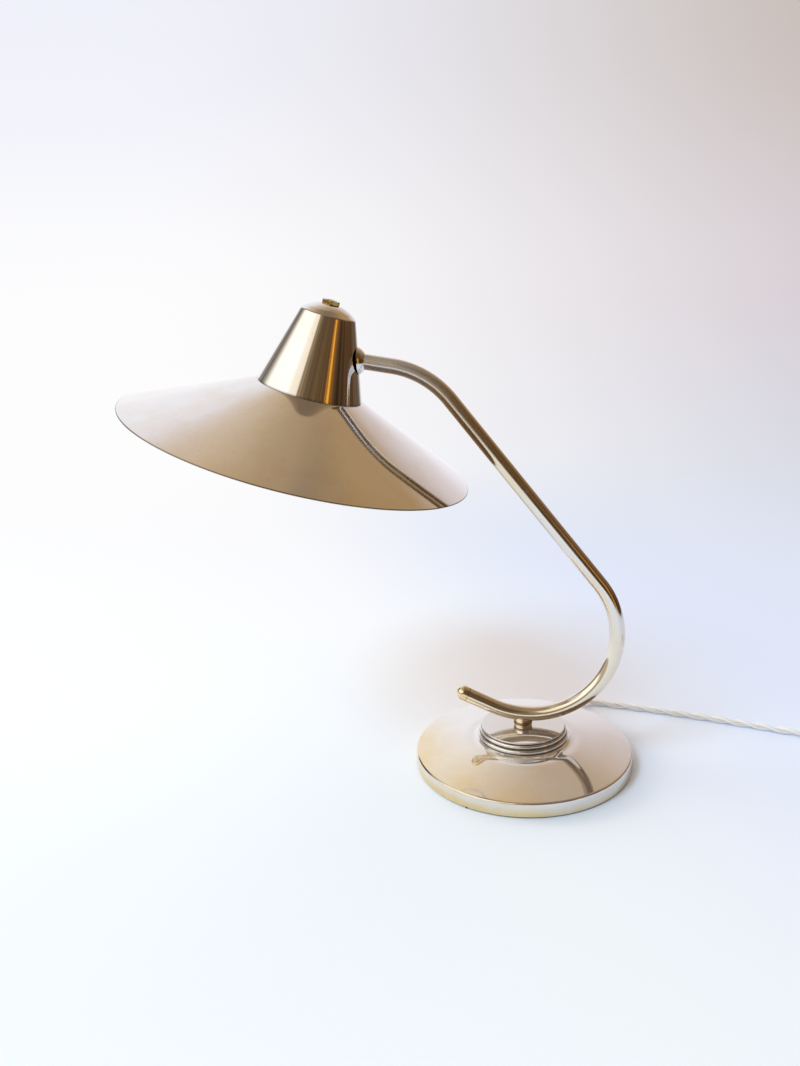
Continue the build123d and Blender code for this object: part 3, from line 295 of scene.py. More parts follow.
def surface(name, grid, closed_rows=False, sharp=radians(40)):
    """Mesh of a grid of points P[i, j], with row i along the profile or path and column j round it.

    Columns close on themselves. Rows close too where closed_rows is set; otherwise a fan to its mean point
    closes each end row. Faces turn outwards by the sign of the enclosed volume, the sum of a.(b x c)/6.
    UV is (share of the way round, metres along the middle of the rows).
    """
    rows, cols, _ = grid.shape
    points, count = grid.reshape(-1, 3), rows * cols
    steps = np.linalg.norm(np.diff(grid, axis=0, append=grid[:1]), axis=2).mean(axis=1)
    along = np.concatenate([[0], np.cumsum(steps)])
    i, j = np.indices((rows if closed_rows else rows - 1, cols))
    here, after = i * cols + j, i * cols + (j + 1) % cols
    quads = np.stack([here, after, (after + cols) % count, (here + cols) % count], axis=-1).reshape(-1, 4)
    u, v = np.stack([j, j + 1, j + 1, j], axis=-1) / cols, along[np.stack([i, i, i + 1, i + 1], axis=-1)]
    quad_uv = np.stack([u, v], axis=-1).reshape(-1, 4, 2)
    fans, fan_uv = np.empty((0, 3), int), np.empty((0, 3, 2))
    if not closed_rows:
        j = np.arange(cols)
        after, last, pole = (j + 1) % cols, count - cols, np.full(cols, count)
        fans = np.array([[after, j, pole], [last + j, last + after, pole + 1]]).swapaxes(1, 2).reshape(-1, 3)
        points = np.concatenate([points, grid[[0, -1]].mean(axis=1)])
        u = np.array([[j + 1, j, j + 0.5], [j, j + 1, j + 0.5]]).swapaxes(1, 2) / cols
        v = np.broadcast_to(along[[0, rows - 1]][:, None, None], u.shape)
        fan_uv = np.stack([u, v], axis=-1).reshape(-1, 3, 2)
    thirds = np.concatenate([quads[:, [0, 1, 2]], quads[:, [0, 2, 3]], fans])
    a, b, c = np.moveaxis(points[thirds] - points.mean(axis=0), 1, 0)
    if (a * np.cross(b, c)).sum() < 0:
        quads, fans, quad_uv, fan_uv = (turned[:, ::-1] for turned in (quads, fans, quad_uv, fan_uv))
    uv = np.concatenate([quad_uv.reshape(-1, 2), fan_uv.reshape(-1, 2)])
    mesh = bpy.data.meshes.new(name)
    mesh.from_pydata(points.tolist(), [], quads.tolist() + fans.tolist())
    mesh.uv_layers.new(name="UVMap").data.foreach_set("uv", uv.astype(np.float32).ravel())
    mesh.polygons.foreach_set("use_smooth", np.ones(len(mesh.polygons), bool))
    mesh.set_sharp_from_angle(angle=sharp)
    mesh.update()
    made = bpy.data.objects.new(name, mesh)
    bpy.context.scene.collection.objects.link(made)
    return made


def dress(made, body, material, slot, *nodes):
    """Finish a piece: its material, the body it rides on and the solids it stands for. slot is not used."""
    made.data.materials.clear()
    made.data.materials.append(material)
    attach(made, body)
    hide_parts(*nodes)
    return made


def soften(corners, radii, closed=False, steps=7):
    """Outline of straight runs whose corners are rounded.

    Corner k with radius r and half angle h between its runs has its arc's centre at r / sin(h) along the
    bisector, and the arc touches the runs at r / tan(h) from the corner. Runs get two more points close to
    their ends, so that smooth shading stays flat between them.
    """
    corners = np.array(corners, float)
    count = len(corners)
    parts = []
    for k in range(count):
        radius = radii[k]
        if radius == 0 or (not closed and k in (0, count - 1)):
            parts.append(corners[k:k + 1])
            continue
        back = corners[k - 1] - corners[k]
        ahead = corners[(k + 1) % count] - corners[k]
        back, ahead = back / np.linalg.norm(back), ahead / np.linalg.norm(ahead)
        half = np.arccos(np.clip(back @ ahead, -1, 1)) / 2
        bisector = (back + ahead) / np.linalg.norm(back + ahead)
        centre = corners[k] + bisector * radius / np.sin(half)
        start = corners[k] + back * radius / np.tan(half) - centre
        end = corners[k] + ahead * radius / np.tan(half) - centre
        first = np.arctan2(start[1], start[0])
        sweep = (np.arctan2(end[1], end[0]) - first + np.pi) % (2 * np.pi) - np.pi
        angles = first + sweep * np.linspace(0, 1, steps)
        parts.append(centre + radius * np.stack([np.cos(angles), np.sin(angles)], axis=-1))
    joined = []
    pairs = count if closed else count - 1
    for k in range(pairs):
        start, end = parts[k][-1], parts[(k + 1) % count][0]
        run = np.linalg.norm(end - start)
        near = min(CREASE / run, 0.25) if run > 0 else 0
        shares = np.concatenate([[near], np.linspace(0, 1, 8)[1:-1], [1 - near]])[:, None]
        joined += [parts[k], start + (end - start) * np.sort(shares, axis=0)] if run > MM else [parts[k]]
    if not closed:
        joined.append(parts[-1])
    return np.concatenate(joined)


def bulge(start, end, rise, steps=13):
    """Arc in the outline's plane from start to end that stands out by rise to the right of the chord.

    Its radius is (half chord squared + rise squared) / (2 rise).
    """
    start, end = np.array(start, float), np.array(end, float)
    chord = end - start
    half = np.linalg.norm(chord) / 2
    way = chord / (2 * half)
    out = np.array([way[1], -way[0]])
    radius = (half ** 2 + rise ** 2) / (2 * rise)
    reach = np.arcsin(half / radius)
    angles = np.linspace(-reach, reach, steps)[:, None]
    centre = (start + end) / 2 + out * (rise - radius)
    return centre + radius * (np.sin(angles) * way + np.cos(angles) * out)


def lathe(outline, origin, axis, right, sides):
    """Surface of revolution: P = origin + r spoke(t) + h axis, for each outline point (r, h)."""
    return origin + outline[:, 0, None, None] * spokes(axis, right, sides) + outline[:, 1, None, None] * axis


def path_axes(path, up):
    """Tangent, side and rise at each point of a path: side = up x tangent, rise = tangent x side."""
    tangent = unit(np.gradient(path, axis=0))
    side = unit(np.cross(up, tangent))
    return tangent, side, np.cross(tangent, side)


def tube(path, radius, up, sides):
    """Round tube on a path: P = centre + r (cos t side + sin t rise)."""
    _, side, rise = path_axes(path, up)
    angles = ring(sides)[:, None]
    return path[:, None] + radius * (np.cos(angles) * side[:, None] + np.sin(angles) * rise[:, None])


def hexagon(width, thickness, chamfer, origin, axis, right, sides=96):
    """Hexagon nut: radius (width / 2) / cos(angle to the nearest flat), cut by a 45 degree cone at both faces."""
    slope = np.linspace(0, chamfer, 4)
    heights = np.concatenate([slope, [thickness / 2], thickness - slope[::-1]])
    flats = width / 2 / np.cos((ring(sides) + np.pi / 6) % (np.pi / 3) - np.pi / 6)
    cone = width / sqrt(3) - chamfer + np.minimum(heights, thickness - heights)
    radii = np.minimum(flats, cone[:, None])
    return origin + radii[..., None] * spokes(axis, right, sides) + heights[:, None, None] * axis


def spline_path(name, points, step):
    """Points at even steps along a NURBS spline that has the given control points."""
    curve = bpy.data.curves.new(name, "CURVE")
    curve.dimensions = "3D"
    curve.resolution_u = 24
    spline = curve.splines.new("NURBS")
    spline.points.add(len(points) - 1)
    spline.points.foreach_set("co", np.column_stack([points, np.ones(len(points))]).ravel())
    spline.order_u = 3
    spline.use_endpoint_u = True
    holder = bpy.data.objects.new(name, curve)
    line = bpy.data.meshes.new_from_object(holder)
    path = np.empty(len(line.vertices) * 3)
    line.vertices.foreach_get("co", path)
    path = path.reshape(-1, 3)
    bpy.data.objects.remove(holder)
    bpy.data.curves.remove(curve)
    bpy.data.meshes.remove(line)
    run = distance(path)
    even = np.linspace(0, run[-1], round(run[-1] / step) + 1)
    return np.stack([np.interp(even, run, path[:, k]) for k in range(3)], axis=-1)


def strands(name, path, cord, sides=14):
    """Two strands twisted on a path, pressed into each other in the middle.

    Strand k's middle is path + (r - t)(cos a side + sin a rise) with a = 2 pi s / twist + k pi, and its round
    section of radius t stands square to the helix, whose slope is the arc tangent of 2 pi (r - t) / twist.
    """
    tangent, side, rise = path_axes(path, UP)
    thick = STRAND_SHARE * cord.radius
    offset = cord.radius - thick
    slope = atan(2 * pi * offset / cord.twist)
    angles = ring(sides)[:, None]
    made = []
    for k in range(2):
        swing = (2 * np.pi * distance(path) / cord.twist + k * np.pi)[:, None]
        out = np.cos(swing) * side + np.sin(swing) * rise
        square = (np.cos(swing) * rise - np.sin(swing) * side) * cos(slope) - tangent * sin(slope)
        round_way = np.cos(angles) * out[:, None] + np.sin(angles) * square[:, None]
        made.append(surface(name, (path + offset * out)[:, None] + thick * round_way))
    with bpy.context.temp_override(
        active_object=made[0], selected_objects=made, selected_editable_objects=made,
    ):
        bpy.ops.object.join()
    return made[0]


# Places that several pieces share

def heading(angle):
    """Unit vector in the arm's plane at an angle above +X."""
    return np.array([cos(angle), 0, sin(angle)])


def arc(centre, radius, first, last, steps):
    """Arc in the arm's plane: centre + radius heading(a), a from first to last."""
    angles = np.linspace(first, last, steps)
    return centre + radius * np.stack([np.cos(angles), 0 * angles, np.sin(angles)], axis=-1)


def run_between(start, end, steps):
    """Even points on a straight run."""
    return start + (end - start) * np.linspace(0, 1, steps)[:, None]


def swivel_heights(foot):
    """Heights of the collar's top, the washer's top, the brass ring's top and the stud's shoulder."""
    collar = foot.lip_height + foot.ring_height + foot.disc_height + 2 * foot.groove_height
    top = foot.crown_height + collar
    washer = top + foot.washer_thickness
    brass = washer + foot.brass_thickness
    return top, washer, brass, brass + foot.stud_gap


def arm_places(foot, arm):
    """Points of the arm's centre line: tail, bow, long run, upper bend and tip."""
    low = swivel_heights(foot)[3] + foot.stud_web + arm.radius
    bow = np.array([arm.bow_offset, 0, low + sqrt(arm.bow_radius ** 2 - arm.bow_offset ** 2)])
    bow_start = bow + heading(3 * pi / 2 - arm.tail_angle) * arm.bow_radius
    bow_end = bow + heading(pi / 2 - arm.run_angle) * arm.bow_radius
    bend_start = bow_end + heading(pi - arm.run_angle) * arm.run_length
    bend = bend_start + heading(3 * pi / 2 - arm.run_angle) * arm.bend_radius
    bend_end = bend + heading(pi / 2 - arm.end_angle) * arm.bend_radius
    return {
        "low": low, "bow": bow, "bow_start": bow_start, "bow_end": bow_end,
        "tail": bow_start + heading(pi - arm.tail_angle) * arm.tail_length,
        "bend_start": bend_start, "bend": bend, "bend_end": bend_end,
        "tip": bend_end + heading(pi - arm.end_angle) * arm.end_run,
    }


def head_frame(lamp):
    """Origin, axis and rightward direction of the head, which hangs on the arm's tip."""
    head = lamp.head
    up, right = heading(pi / 2 - head.lean), heading(-head.lean)
    flank = (head.foot_radius - head.shoulder_radius) / head.flank_height
    entry = head.foot_radius - head.entry_height * flank
    tip = arm_places(lamp.foot, lamp.arm)["tip"]
    return tip - right * entry - up * (head.shade_height + head.entry_height), up, right


# Materials

def node(tree, kind, inputs=(), stops=(), **settings):
    """Add one node with its settings and links, and give its first output in use.

    inputs are values or other nodes' outputs, by name or in the order of the sockets in use; a colour is three
    numbers or a hex value. stops are the (place, hex value) pairs of a ramp.
    """
    made = tree.nodes.new("ShaderNode" + kind)
    for key, value in settings.items():
        setattr(made, key, value)
    for number, (place, code) in enumerate(stops):
        ramp = made.color_ramp.elements
        if number == 0:
            ramp.remove(ramp[1])
            ramp[0].position = place
        spot = ramp.new(place) if number else ramp[0]
        spot.color = (*linear(code), 1)
    used = [socket for socket in made.inputs if socket.enabled]
    for key, value in inputs.items() if isinstance(inputs, dict) else enumerate(inputs):
        socket = made.inputs[key] if isinstance(key, str) else used[key]
        if isinstance(value, bpy.types.NodeSocket):
            tree.links.new(value, socket)
        elif socket.type == "RGBA":
            socket.default_value = (*(linear(value) if isinstance(value, str) else value), 1)
        else:
            socket.default_value = value
    return next((socket for socket in made.outputs if socket.enabled), None)


def start_material(name):
    """An empty node material, its tree and its coordinates."""
    if bpy.data.materials.get(name):
        raise RuntimeError(f"material {name} is made twice")
    made = bpy.data.materials.new(name)
    made.use_nodes = True
    made.node_tree.nodes.clear()
    return made, made.node_tree, node(made.node_tree, "TexCoord").node.outputs


def close_material(made, **inputs):
    """The Principled shader with these inputs, joined to the output; underscores stand for spaces."""
    sockets = {key.replace("_", " "): value for key, value in inputs.items()}
    node(made.node_tree, "OutputMaterial", [node(made.node_tree, "BsdfPrincipled", sockets)])
    return made


def patch_share(tree, lay, around, along, fade, around_fade=0.02):
    """Share of a patch of the UV: 1 inside its spans round and along the piece, 0 outside, over soft margins.

    around is a span of shares of the way round, or None for the whole way; along is a span in metres.
    """
    u, v, _ = lay
    margins = [(v, along[0] - fade, along[0]), (v, along[1] + fade, along[1])]
    if around:
        margins += [(u, around[0] - around_fade, around[0]), (u, around[1] + around_fade, around[1])]
    share = 1.0
    for margin in margins:
        share = node(tree, "Math", [share, node(tree, "MapRange", [*margin, 0.0, 1.0], **SMOOTH)], **TIMES)
    return share


def polished_nickel(
    name, finish, gloss, lines, streaks=None, film_share=0.3, dust=(0.0, None), bare=None, satin=None, patches=(),
):
    """Nickel plate on spun brass, buffed bright: a mirror with hairlines, a thin warm film and small brown pits.

    gloss is the roughness of clean and of hazy plate. lines is (spacing, depth) of the hairlines that run
    round the piece, by the second UV. streaks is (count round, spacing along, depth) of the buffing's waves.
    dust is (share, span along or None) of a dull film. bare is the height below which the plate is worn so
    thin that brass shows through; a foot with it is also yellower in front on its left. satin is (start, end,
    added roughness) along the piece. patches are (colour, share, span round, span along, fade) of local films:
    seams, worn edges, scores and chips; some callers also paint shade and a reflection with them.
    """
    made, tree, place = start_material(name)
    flow = place["Object"]
    lay = node(tree, "SeparateXYZ", [place["UV"]]).node.outputs
    cloud = node(tree, "TexNoise", [flow, 1 / (45 * MM), 5.0, 0.62])
    speck = node(tree, "TexNoise", [flow, 1 / (1.6 * MM), 2.0])
    layers = [
        (node(tree, "MapRange", [cloud, 0.46, 0.72, 0.0, film_share]), finish.nickel_warm),
        (node(tree, "MapRange", [speck, 0.70, 0.76, 0.0, 0.35]), finish.tarnish),
    ]
    if bare:
        x, _, z = node(tree, "SeparateXYZ", [flow]).node.outputs
        slant = node(tree, "VectorMath", [flow, (-0.8, -0.6, 0.0)], operation="DOT_PRODUCT")
        thin = node(tree, "MapRange", [slant, 25 * MM, 80 * MM, 0.0, 1.35], **SMOOTH)
        topside = node(tree, "MapRange", [z, bare - 2 * MM, bare, 0.3, 1.0])
        low = node(tree, "MapRange", [z, bare * 0.75, bare * 0.25, 0.0, 1.1])
        left = node(tree, "MapRange", [x, 70 * MM, -70 * MM, 0.45, 1.0])
        rub = node(tree, "TexNoise", [flow, 1 / (12 * MM), 6.0, 0.7])
        thin, low = (node(tree, "Math", pair, **TIMES) for pair in ((thin, cloud), (low, rub)))
        thin, low = (node(tree, "Math", pair, **TIMES) for pair in ((thin, topside), (low, left)))
        worn = node(tree, "MapRange", [low, 0.05, 0.40, 0.0, 0.9])
        layers += [(thin, finish.nickel_worn), (worn, finish.nickel_worn)]
    for tone, share, *spans in patches:
        layers.append((node(tree, "Math", [patch_share(tree, lay, *spans), share], **TIMES), tone))
    colour = finish.nickel
    for share, tone in layers:
        colour = node(tree, "Mix", [share, colour, tone], **COLOUR)
    haze = node(tree, "TexNoise", [flow, 1 / (20 * MM), 3.0])
    rough = node(tree, "MapRange", [haze, 0.35, 0.7, *gloss])
    if satin:
        start, end, more = satin
        soft = node(tree, "MapRange", [lay["Y"], start, end, 0.0, more])
        rough = node(tree, "Math", [rough, soft], operation="ADD")
    bump = {"Strength": 1.0}
    for count, pitch, depth, detail in [(0.0, *lines, 3.0)] + ([(*streaks, 2.0)] if streaks else []):
        drawn = node(tree, "Mapping", {"Vector": place["UV"], "Scale": (count, 1 / pitch, 0.0)})
        bump |= {"Height": node(tree, "TexNoise", [drawn, 1.0, detail]), "Distance": depth}
        bump["Normal"] = node(tree, "Bump", bump)
    dull, span = dust
    bright = 1.0 - dull
    if span:
        bright = node(tree, "MapRange", [patch_share(tree, lay, None, span, 60 * MM), 0.0, 1.0, 1.0, bright])
    return close_material(made, Base_Color=colour, Metallic=bright, Roughness=rough, Normal=bump["Normal"])


def grained(
    name, light, dark, size, depth, gloss, metallic=0.0, cloud=(9, 4.0, 0.5), film=(0.0, 1.0, 1.0), detail=3.0, **more,
):
    """A fine-grained solid such as cast iron, moulded urea, zinc plate, glaze or rubber: two close tones and a grain.

    size and depth are the grain's, and gloss is the roughness of the light and of the dark tone. cloud is (size
    in grains, detail, roughness) of the patches of the dark tone. film is the span of the cloud over which that
    tone comes in, and its largest share.
    """
    made, tree, place = start_material(name)
    flow = place["Object"]
    grains, *fineness = cloud
    patch = node(tree, "TexNoise", [flow, 1 / (size * grains), *fineness])
    start, end, most = film
    share = node(tree, "MapRange", [patch, start, end, 0.0, most])
    colour = node(tree, "Mix", [share, light, dark], **COLOUR)
    rough = node(tree, "MapRange", [patch, 0.3, 0.7, *gloss])
    grain = node(tree, "TexNoise", [flow, 1 / size, detail])
    relief = node(tree, "Bump", {"Height": grain, "Strength": 1.0, "Distance": depth})
    return close_material(made, Base_Color=colour, Metallic=metallic, Roughness=rough, Normal=relief, **more)


def turned_brass(name, finish, gloss, patina):
    """Brass turned on a lathe: yellow mirror with fine grain, browner where fingers don't reach."""
    return grained(
        name, finish.brass, finish.brass_dark, 0.4 * MM, 0.004 * MM, gloss, 1.0, cloud=(15, 5.0, 0.65),
        film=(0.35, 0.75, patina), detail=2.0,
    )


def braided_rayon(name, finish):
    """White rayon braid over rubber: silky, with a fine herringbone of threads about 0.8 mm wide.

    Two families of slanted ridges by the UV, 8 threads round a strand and one every 0.8 mm along it; the
    real threads are half as wide and are drawn coarser so that they show. Between the ridges the darker cloth shade
    tone is painted shade.
    """
    made, tree, place = start_material(name)
    threads_round, thread_width = 8.0, 0.8 * MM
    u, v, _ = node(tree, "SeparateXYZ", [place["UV"]]).node.outputs
    lay = [node(tree, "Math", [way, count], **TIMES) for way, count in ((u, threads_round), (v, 1 / thread_width))]
    slants = [node(tree, "Math", lay, operation=operation) for operation in ("ADD", "SUBTRACT")]
    ridges = [node(tree, "Math", [slant, 1.0], operation="PINGPONG") for slant in slants]
    weave = node(tree, "Math", ridges, **TIMES)
    # Painted shade: the threads are darker where they lie deeper in the braid
    colour = node(tree, "Mix", [weave, finish.cloth_shade, finish.cloth], **COLOUR)
    relief = node(tree, "Bump", {"Height": weave, "Strength": 1.0, "Distance": 0.10 * MM})
    return close_material(
        made, Base_Color=colour, Roughness=0.30, Normal=relief, Specular_IOR_Level=1.0, Sheen_Weight=0.25,
        Sheen_Roughness=0.4,
    )


def pressed_felt(name, colour, dark):
    """Pressed wool felt: matt, mottled, with short fibres about 0.6 mm apart."""
    made, tree, place = start_material(name)
    fibre = node(tree, "TexNoise", [place["Object"], 1 / (0.6 * MM), 6.0, 0.8])
    mixed = node(tree, "Mix", [fibre, dark, colour], **COLOUR)
    relief = node(tree, "Bump", {"Height": fibre, "Strength": 1.0, "Distance": 0.2 * MM})
    return close_material(
        made, Base_Color=mixed, Roughness=0.95, Normal=relief, Sheen_Weight=0.3, Sheen_Roughness=0.6,
    )


# Operators

class DESKLAMP_OT_camera(bpy.types.Operator):
    """Set the camera to the photograph's view"""
    bl_idname = "desklamp.camera"
    bl_label = "Camera"

    def execute(self, context):
        studio = context.scene.desk_lamp.studio
        right = np.array(studio.camera_right)
        ahead = unit(np.array(studio.camera_ahead))
        right = unit(right - ahead * (right @ ahead))
        turned = Matrix(np.column_stack([right, np.cross(right, ahead), -ahead]).tolist())
        lens = bpy.data.cameras.new("studio_camera")
        lens.sensor_fit = "HORIZONTAL"
        lens.sensor_width = 36.0
        lens.lens = studio.focal
        lens.clip_start = 0.02
        camera = bpy.data.objects.new("studio_camera", lens)
        context.scene.collection.objects.link(camera)
        camera.matrix_world = Matrix.Translation(studio.camera_place) @ turned.to_4x4()
        context.scene.camera = camera
        return {"FINISHED"}


class DESKLAMP_OT_cord(bpy.types.Operator):
    """Lay the twisted cloth cord from the foot to the switch and on to the plug, with its tie"""
    bl_idname = "desklamp.cord"
    bl_label = "Cord"

    def execute(self, context):
        lamp = context.scene.desk_lamp
        cord = lamp.cord
        look = ("base", braided_rayon("rayon_braid", lamp.finish), "cloth_cord")
        lead_route = np.array([
            (39.45, 88.61, 6.4), (43.93, 98.66, 6.4), (54.5, 107.6, 4.98), (68.0, 110.6, 3.25),
            (86.0, 105.5, 3.25), (120.0, 97.0, 3.25), (165.0, 84.0, 3.25), (212.0, 68.0, 3.25),
            (236.0, 59.2, 3.25), (255.0, 51.9, 4.65), (268.07, 46.88, 4.65),
        ]) * MM
        lead_line = spline_path("lead_line", lead_route, 0.9 * MM)
        lead = dress(strands("cord_lead_strands", lead_line, cord), *look, "cord_lead")
        # Coil: three turns in on the table, half a turn up, then out again on top, clockwise from above.
        # A spline through n points a turn runs inside them, so the points stand out by its share.
        points_a_turn, all_turns, low_turns, climb_turns, first_bearing = 16, 6.25, 3, 0.5, radians(70.3703)
        turns = np.arange(0, all_turns + 1e-6, 1 / points_a_turn)
        climb = np.clip((turns - low_turns) / climb_turns, 0, 1)
        wound = np.minimum(turns, low_turns) + climb_turns * climb * (1 - climb)
        wound = wound - np.maximum(turns - low_turns - climb_turns, 0)
        outside = 1 / (0.75 + 0.25 * cos(2 * pi / points_a_turn))
        radius = (cord.coil_radius - cord.coil_pitch * wound) * outside
        angle = first_bearing - 2 * np.pi * turns
        rise = cord.coil_pitch * (climb - np.sin(2 * np.pi * climb) / (2 * np.pi))
        coil_route = COIL_MIDDLE + np.stack([radius * np.cos(angle), radius * np.sin(angle), rise], axis=-1)
        before = np.array([(325.94, 24.64, 4.65), (337.0, 20.4, 4.65)]) * MM
        after = np.array([
            (376.18, -52.02, 11.75), (371.82, -65.32, 11.75), (364.97, -78.66, 6.85), (357.30, -89.16, 6.85),
        ]) * MM
        rest_line = spline_path("rest_line", np.concatenate([before, coil_route, after]), 1.2 * MM)
        rest = dress(strands("cord_rest_strands", rest_line, cord, 12), *look, "cord_coil", "cord_tail")
        tie = self.tie(lamp)
        inner_line = run_between(np.array([7.32, 16.44, 6.4]) * MM, lead_route[0], 90)
        dress(strands("base_lead_strands", inner_line, cord), *look, "base_lead")
        return {"FINISHED"}

    def tie(self, lamp):
        """Tape round the coil: a flat rounded section carried round a rounded rectangle."""
        cord = lamp.cord
        near, far, floor, tall, corner, bearing = 22.29 * MM, 46.16 * MM, 1.05 * MM, 14.3 * MM, 2.4 * MM, radians(200)
        out = np.array([cos(bearing), sin(bearing), 0])
        half = cord.tie_thickness / 2
        left, right, low, top = near - half, far + half, floor - half, floor + tall + half
        loop = soften([(left, low), (right, low), (right, top), (left, top)], [corner] * 4, closed=True)
        ahead = unit(np.roll(loop, -1, axis=0) - np.roll(loop, 1, axis=0))
        normal = np.stack([ahead[:, 1], -ahead[:, 0]], axis=-1)
        angles = ring(24)
        flat = np.sign(np.cos(angles)) * np.abs(np.cos(angles)) ** 0.35 * cord.tie_width / 2
        thick = np.sign(np.sin(angles)) * np.abs(np.sin(angles)) ** 0.6 * half
        section = loop[:, None] + thick[:, None] * normal[:, None]
        grid = COIL_MIDDLE * (1, 1, 0) + section[..., :1] * out + section[..., 1:] * UP
        grid = grid + flat[:, None] * np.cross(UP, out)
        tape = pressed_felt("cotton_tape", lamp.finish.tape, lamp.finish.cloth_shade)
        return dress(surface("coil_tie_tape", grid, closed_rows=True), "base", tape, "cloth_cord", "coil_tie")


class DESKLAMP_OT_foot(bpy.types.Operator):
    """Spin the foot, its felt and the stepped collar"""
    bl_idname = "desklamp.foot"
    bl_label = "Foot"

    def execute(self, context):
        lamp = context.scene.desk_lamp
        foot, finish = lamp.foot, lamp.finish
        stand = (np.zeros(3), UP, ACROSS)
        shaft = lamp.head.rod_radius + ROD_PLAY
        span, drop = foot.radius - foot.crown_radius, foot.crown_height - foot.rim_height
        rim_run = foot.crown_radius - shaft + hypot(span, drop)
        skirt_run = rim_run + foot.rim_height - foot.skirt_lift
        chip = (finish.tarnish, 0.9, (0.305, 0.335), (rim_run - 0.9 * MM, rim_run + 0.3 * MM), 0.3 * MM)
        # A brown film along the skirt's lower edge: dirt and painted contact shade where the foot meets the table
        dirt_and_painted_shade = (finish.tarnish, 0.4, None, (skirt_run - 0.2 * MM, skirt_run + MM), 0.4 * MM)
        plate = polished_nickel(
            "polished_nickel_foot", finish, gloss=(0.04, 0.09), lines=(0.5 * MM, 0.0006 * MM),
            dust=(0.1, None), bare=foot.rim_height, patches=[chip, dirt_and_painted_shade],
        )
        # The sheet dips in a shallow cove round the collar before it runs down to the rim
        reach = np.linspace(0, 1, 15)[1:]
        out, dip = foot.cove_width * reach, foot.cove_depth * np.sin(np.pi * np.sqrt(reach)) ** 2
        cove = np.stack([foot.crown_radius + out, foot.crown_height - drop / span * out - dip], axis=-1)
        inner, under = foot.radius - foot.wall, foot.crown_height - foot.wall
        shell = soften([
            (shaft, foot.crown_height), (foot.crown_radius, foot.crown_height), *cove, (foot.radius, foot.rim_height),
            (foot.radius, foot.skirt_lift), (inner, foot.skirt_lift), (inner, foot.rim_height - foot.wall),
            (foot.crown_radius, under), (shaft, under),
        ], [0, CREASE, *[0] * len(cove), foot.edge, EDGE, EDGE, 0, 0, 0], closed=True, steps=9)
        base = ("base", plate, "nickel_plate")
        dress(surface("base_shell_plate", lathe(shell, *stand, 288), closed_rows=True), *base, "base_shell")
        rim, thick, felt_edge = foot.felt_radius, foot.felt_thickness, 0.5 * MM
        felt = soften([(TIP_RING, 0), (rim, 0), (rim, thick), (TIP_RING, thick)], [0, felt_edge, felt_edge, 0])
        wool = pressed_felt("pressed_felt", finish.felt, finish.iron)
        # A loose tongue of felt shows under the edge in front, on the left
        sides, tongue_length, tongue_run, bearing, width = 320, 3.6 * MM, 2 * MM, radians(151), radians(1.3)
        tongue = tongue_length * np.exp(-((ring(sides) - bearing) / width) ** 2)
        outer = np.clip((felt[:, 0] - rim + tongue_run) / tongue_run, 0, 1)
        disc = lathe(felt, *stand, sides) + (outer[:, None] * tongue)[..., None] * spokes(UP, ACROSS, sides)
        dress(surface("base_felt_disc", disc), "base", wool, "felt", "base_felt")
        top, washer, brass_top, _ = swivel_heights(foot)
        depth = foot.groove_depth
        lip, bead, disc_radius = foot.lip_radius - depth, foot.ring_radius - depth, foot.disc_radius
        lip_top = foot.crown_height + foot.lip_height
        ring_low = lip_top + foot.groove_height
        ring_top = ring_low + foot.ring_height
        disc_low = ring_top + foot.groove_height
        collar = np.concatenate([
            [(shaft, foot.crown_height)],
            bulge((lip, foot.crown_height), (lip, lip_top), depth),
            bulge((bead, ring_low), (bead, ring_top), depth),
            soften(
                [(disc_radius - depth, disc_low), (disc_radius, disc_low), (disc_radius, top), (shaft, top)],
                [0, CREASE, foot.disc_edge, 0],
            ),
        ])
        # Painted shade in the grooves: dark lines by the way along the outline over both half-rounds
        starts, groove_run = (-1.0 * MM, 4.9 * MM, 11.2 * MM), 1.6 * MM
        grooves = [(lip - shaft + start, lip - shaft + start + groove_run) for start in starts]
        mirror = polished_nickel(
            "polished_nickel_collar", finish, gloss=(0.03, 0.07), lines=(0.4 * MM, 0.0004 * MM),
            dust=(0.08, None), patches=[(finish.tarnish, 0.9, None, shaded_groove, 0.5 * MM) for shaded_groove in grooves],
        )
        swivel = ("base", mirror, "nickel_plate")
        dress(surface("base_collar_plate", lathe(collar, *stand, 256)), *swivel, "base_collar")
        washer_line = soften(
            [(shaft, top), (foot.washer_radius, top), (foot.washer_radius, washer), (shaft, washer)],
            [0, CREASE, 0.45 * MM, 0],
        )
        dress(surface("swivel_washer_plate", lathe(washer_line, *stand, 96)), *swivel, "swivel_washer")
        brass = turned_brass("turned_brass_swivel", finish, (0.12, 0.25), 0.6)
        half, bead_rise, bead_gap = (washer + brass_top) / 2, 0.5 * MM, 0.1 * MM
        bead = foot.brass_radius - bead_rise
        ring_line = np.concatenate([
            [(shaft, washer)], bulge((bead, washer), (bead, half - bead_gap), bead_rise, 9),
            bulge((bead, half + bead_gap), (bead, brass_top), bead_rise, 9), [(shaft, brass_top)],
        ])
        dress(surface("swivel_ring_brass", lathe(ring_line, *stand, 96)), "base", brass, "brass", "swivel_ring")
        return {"FINISHED"}


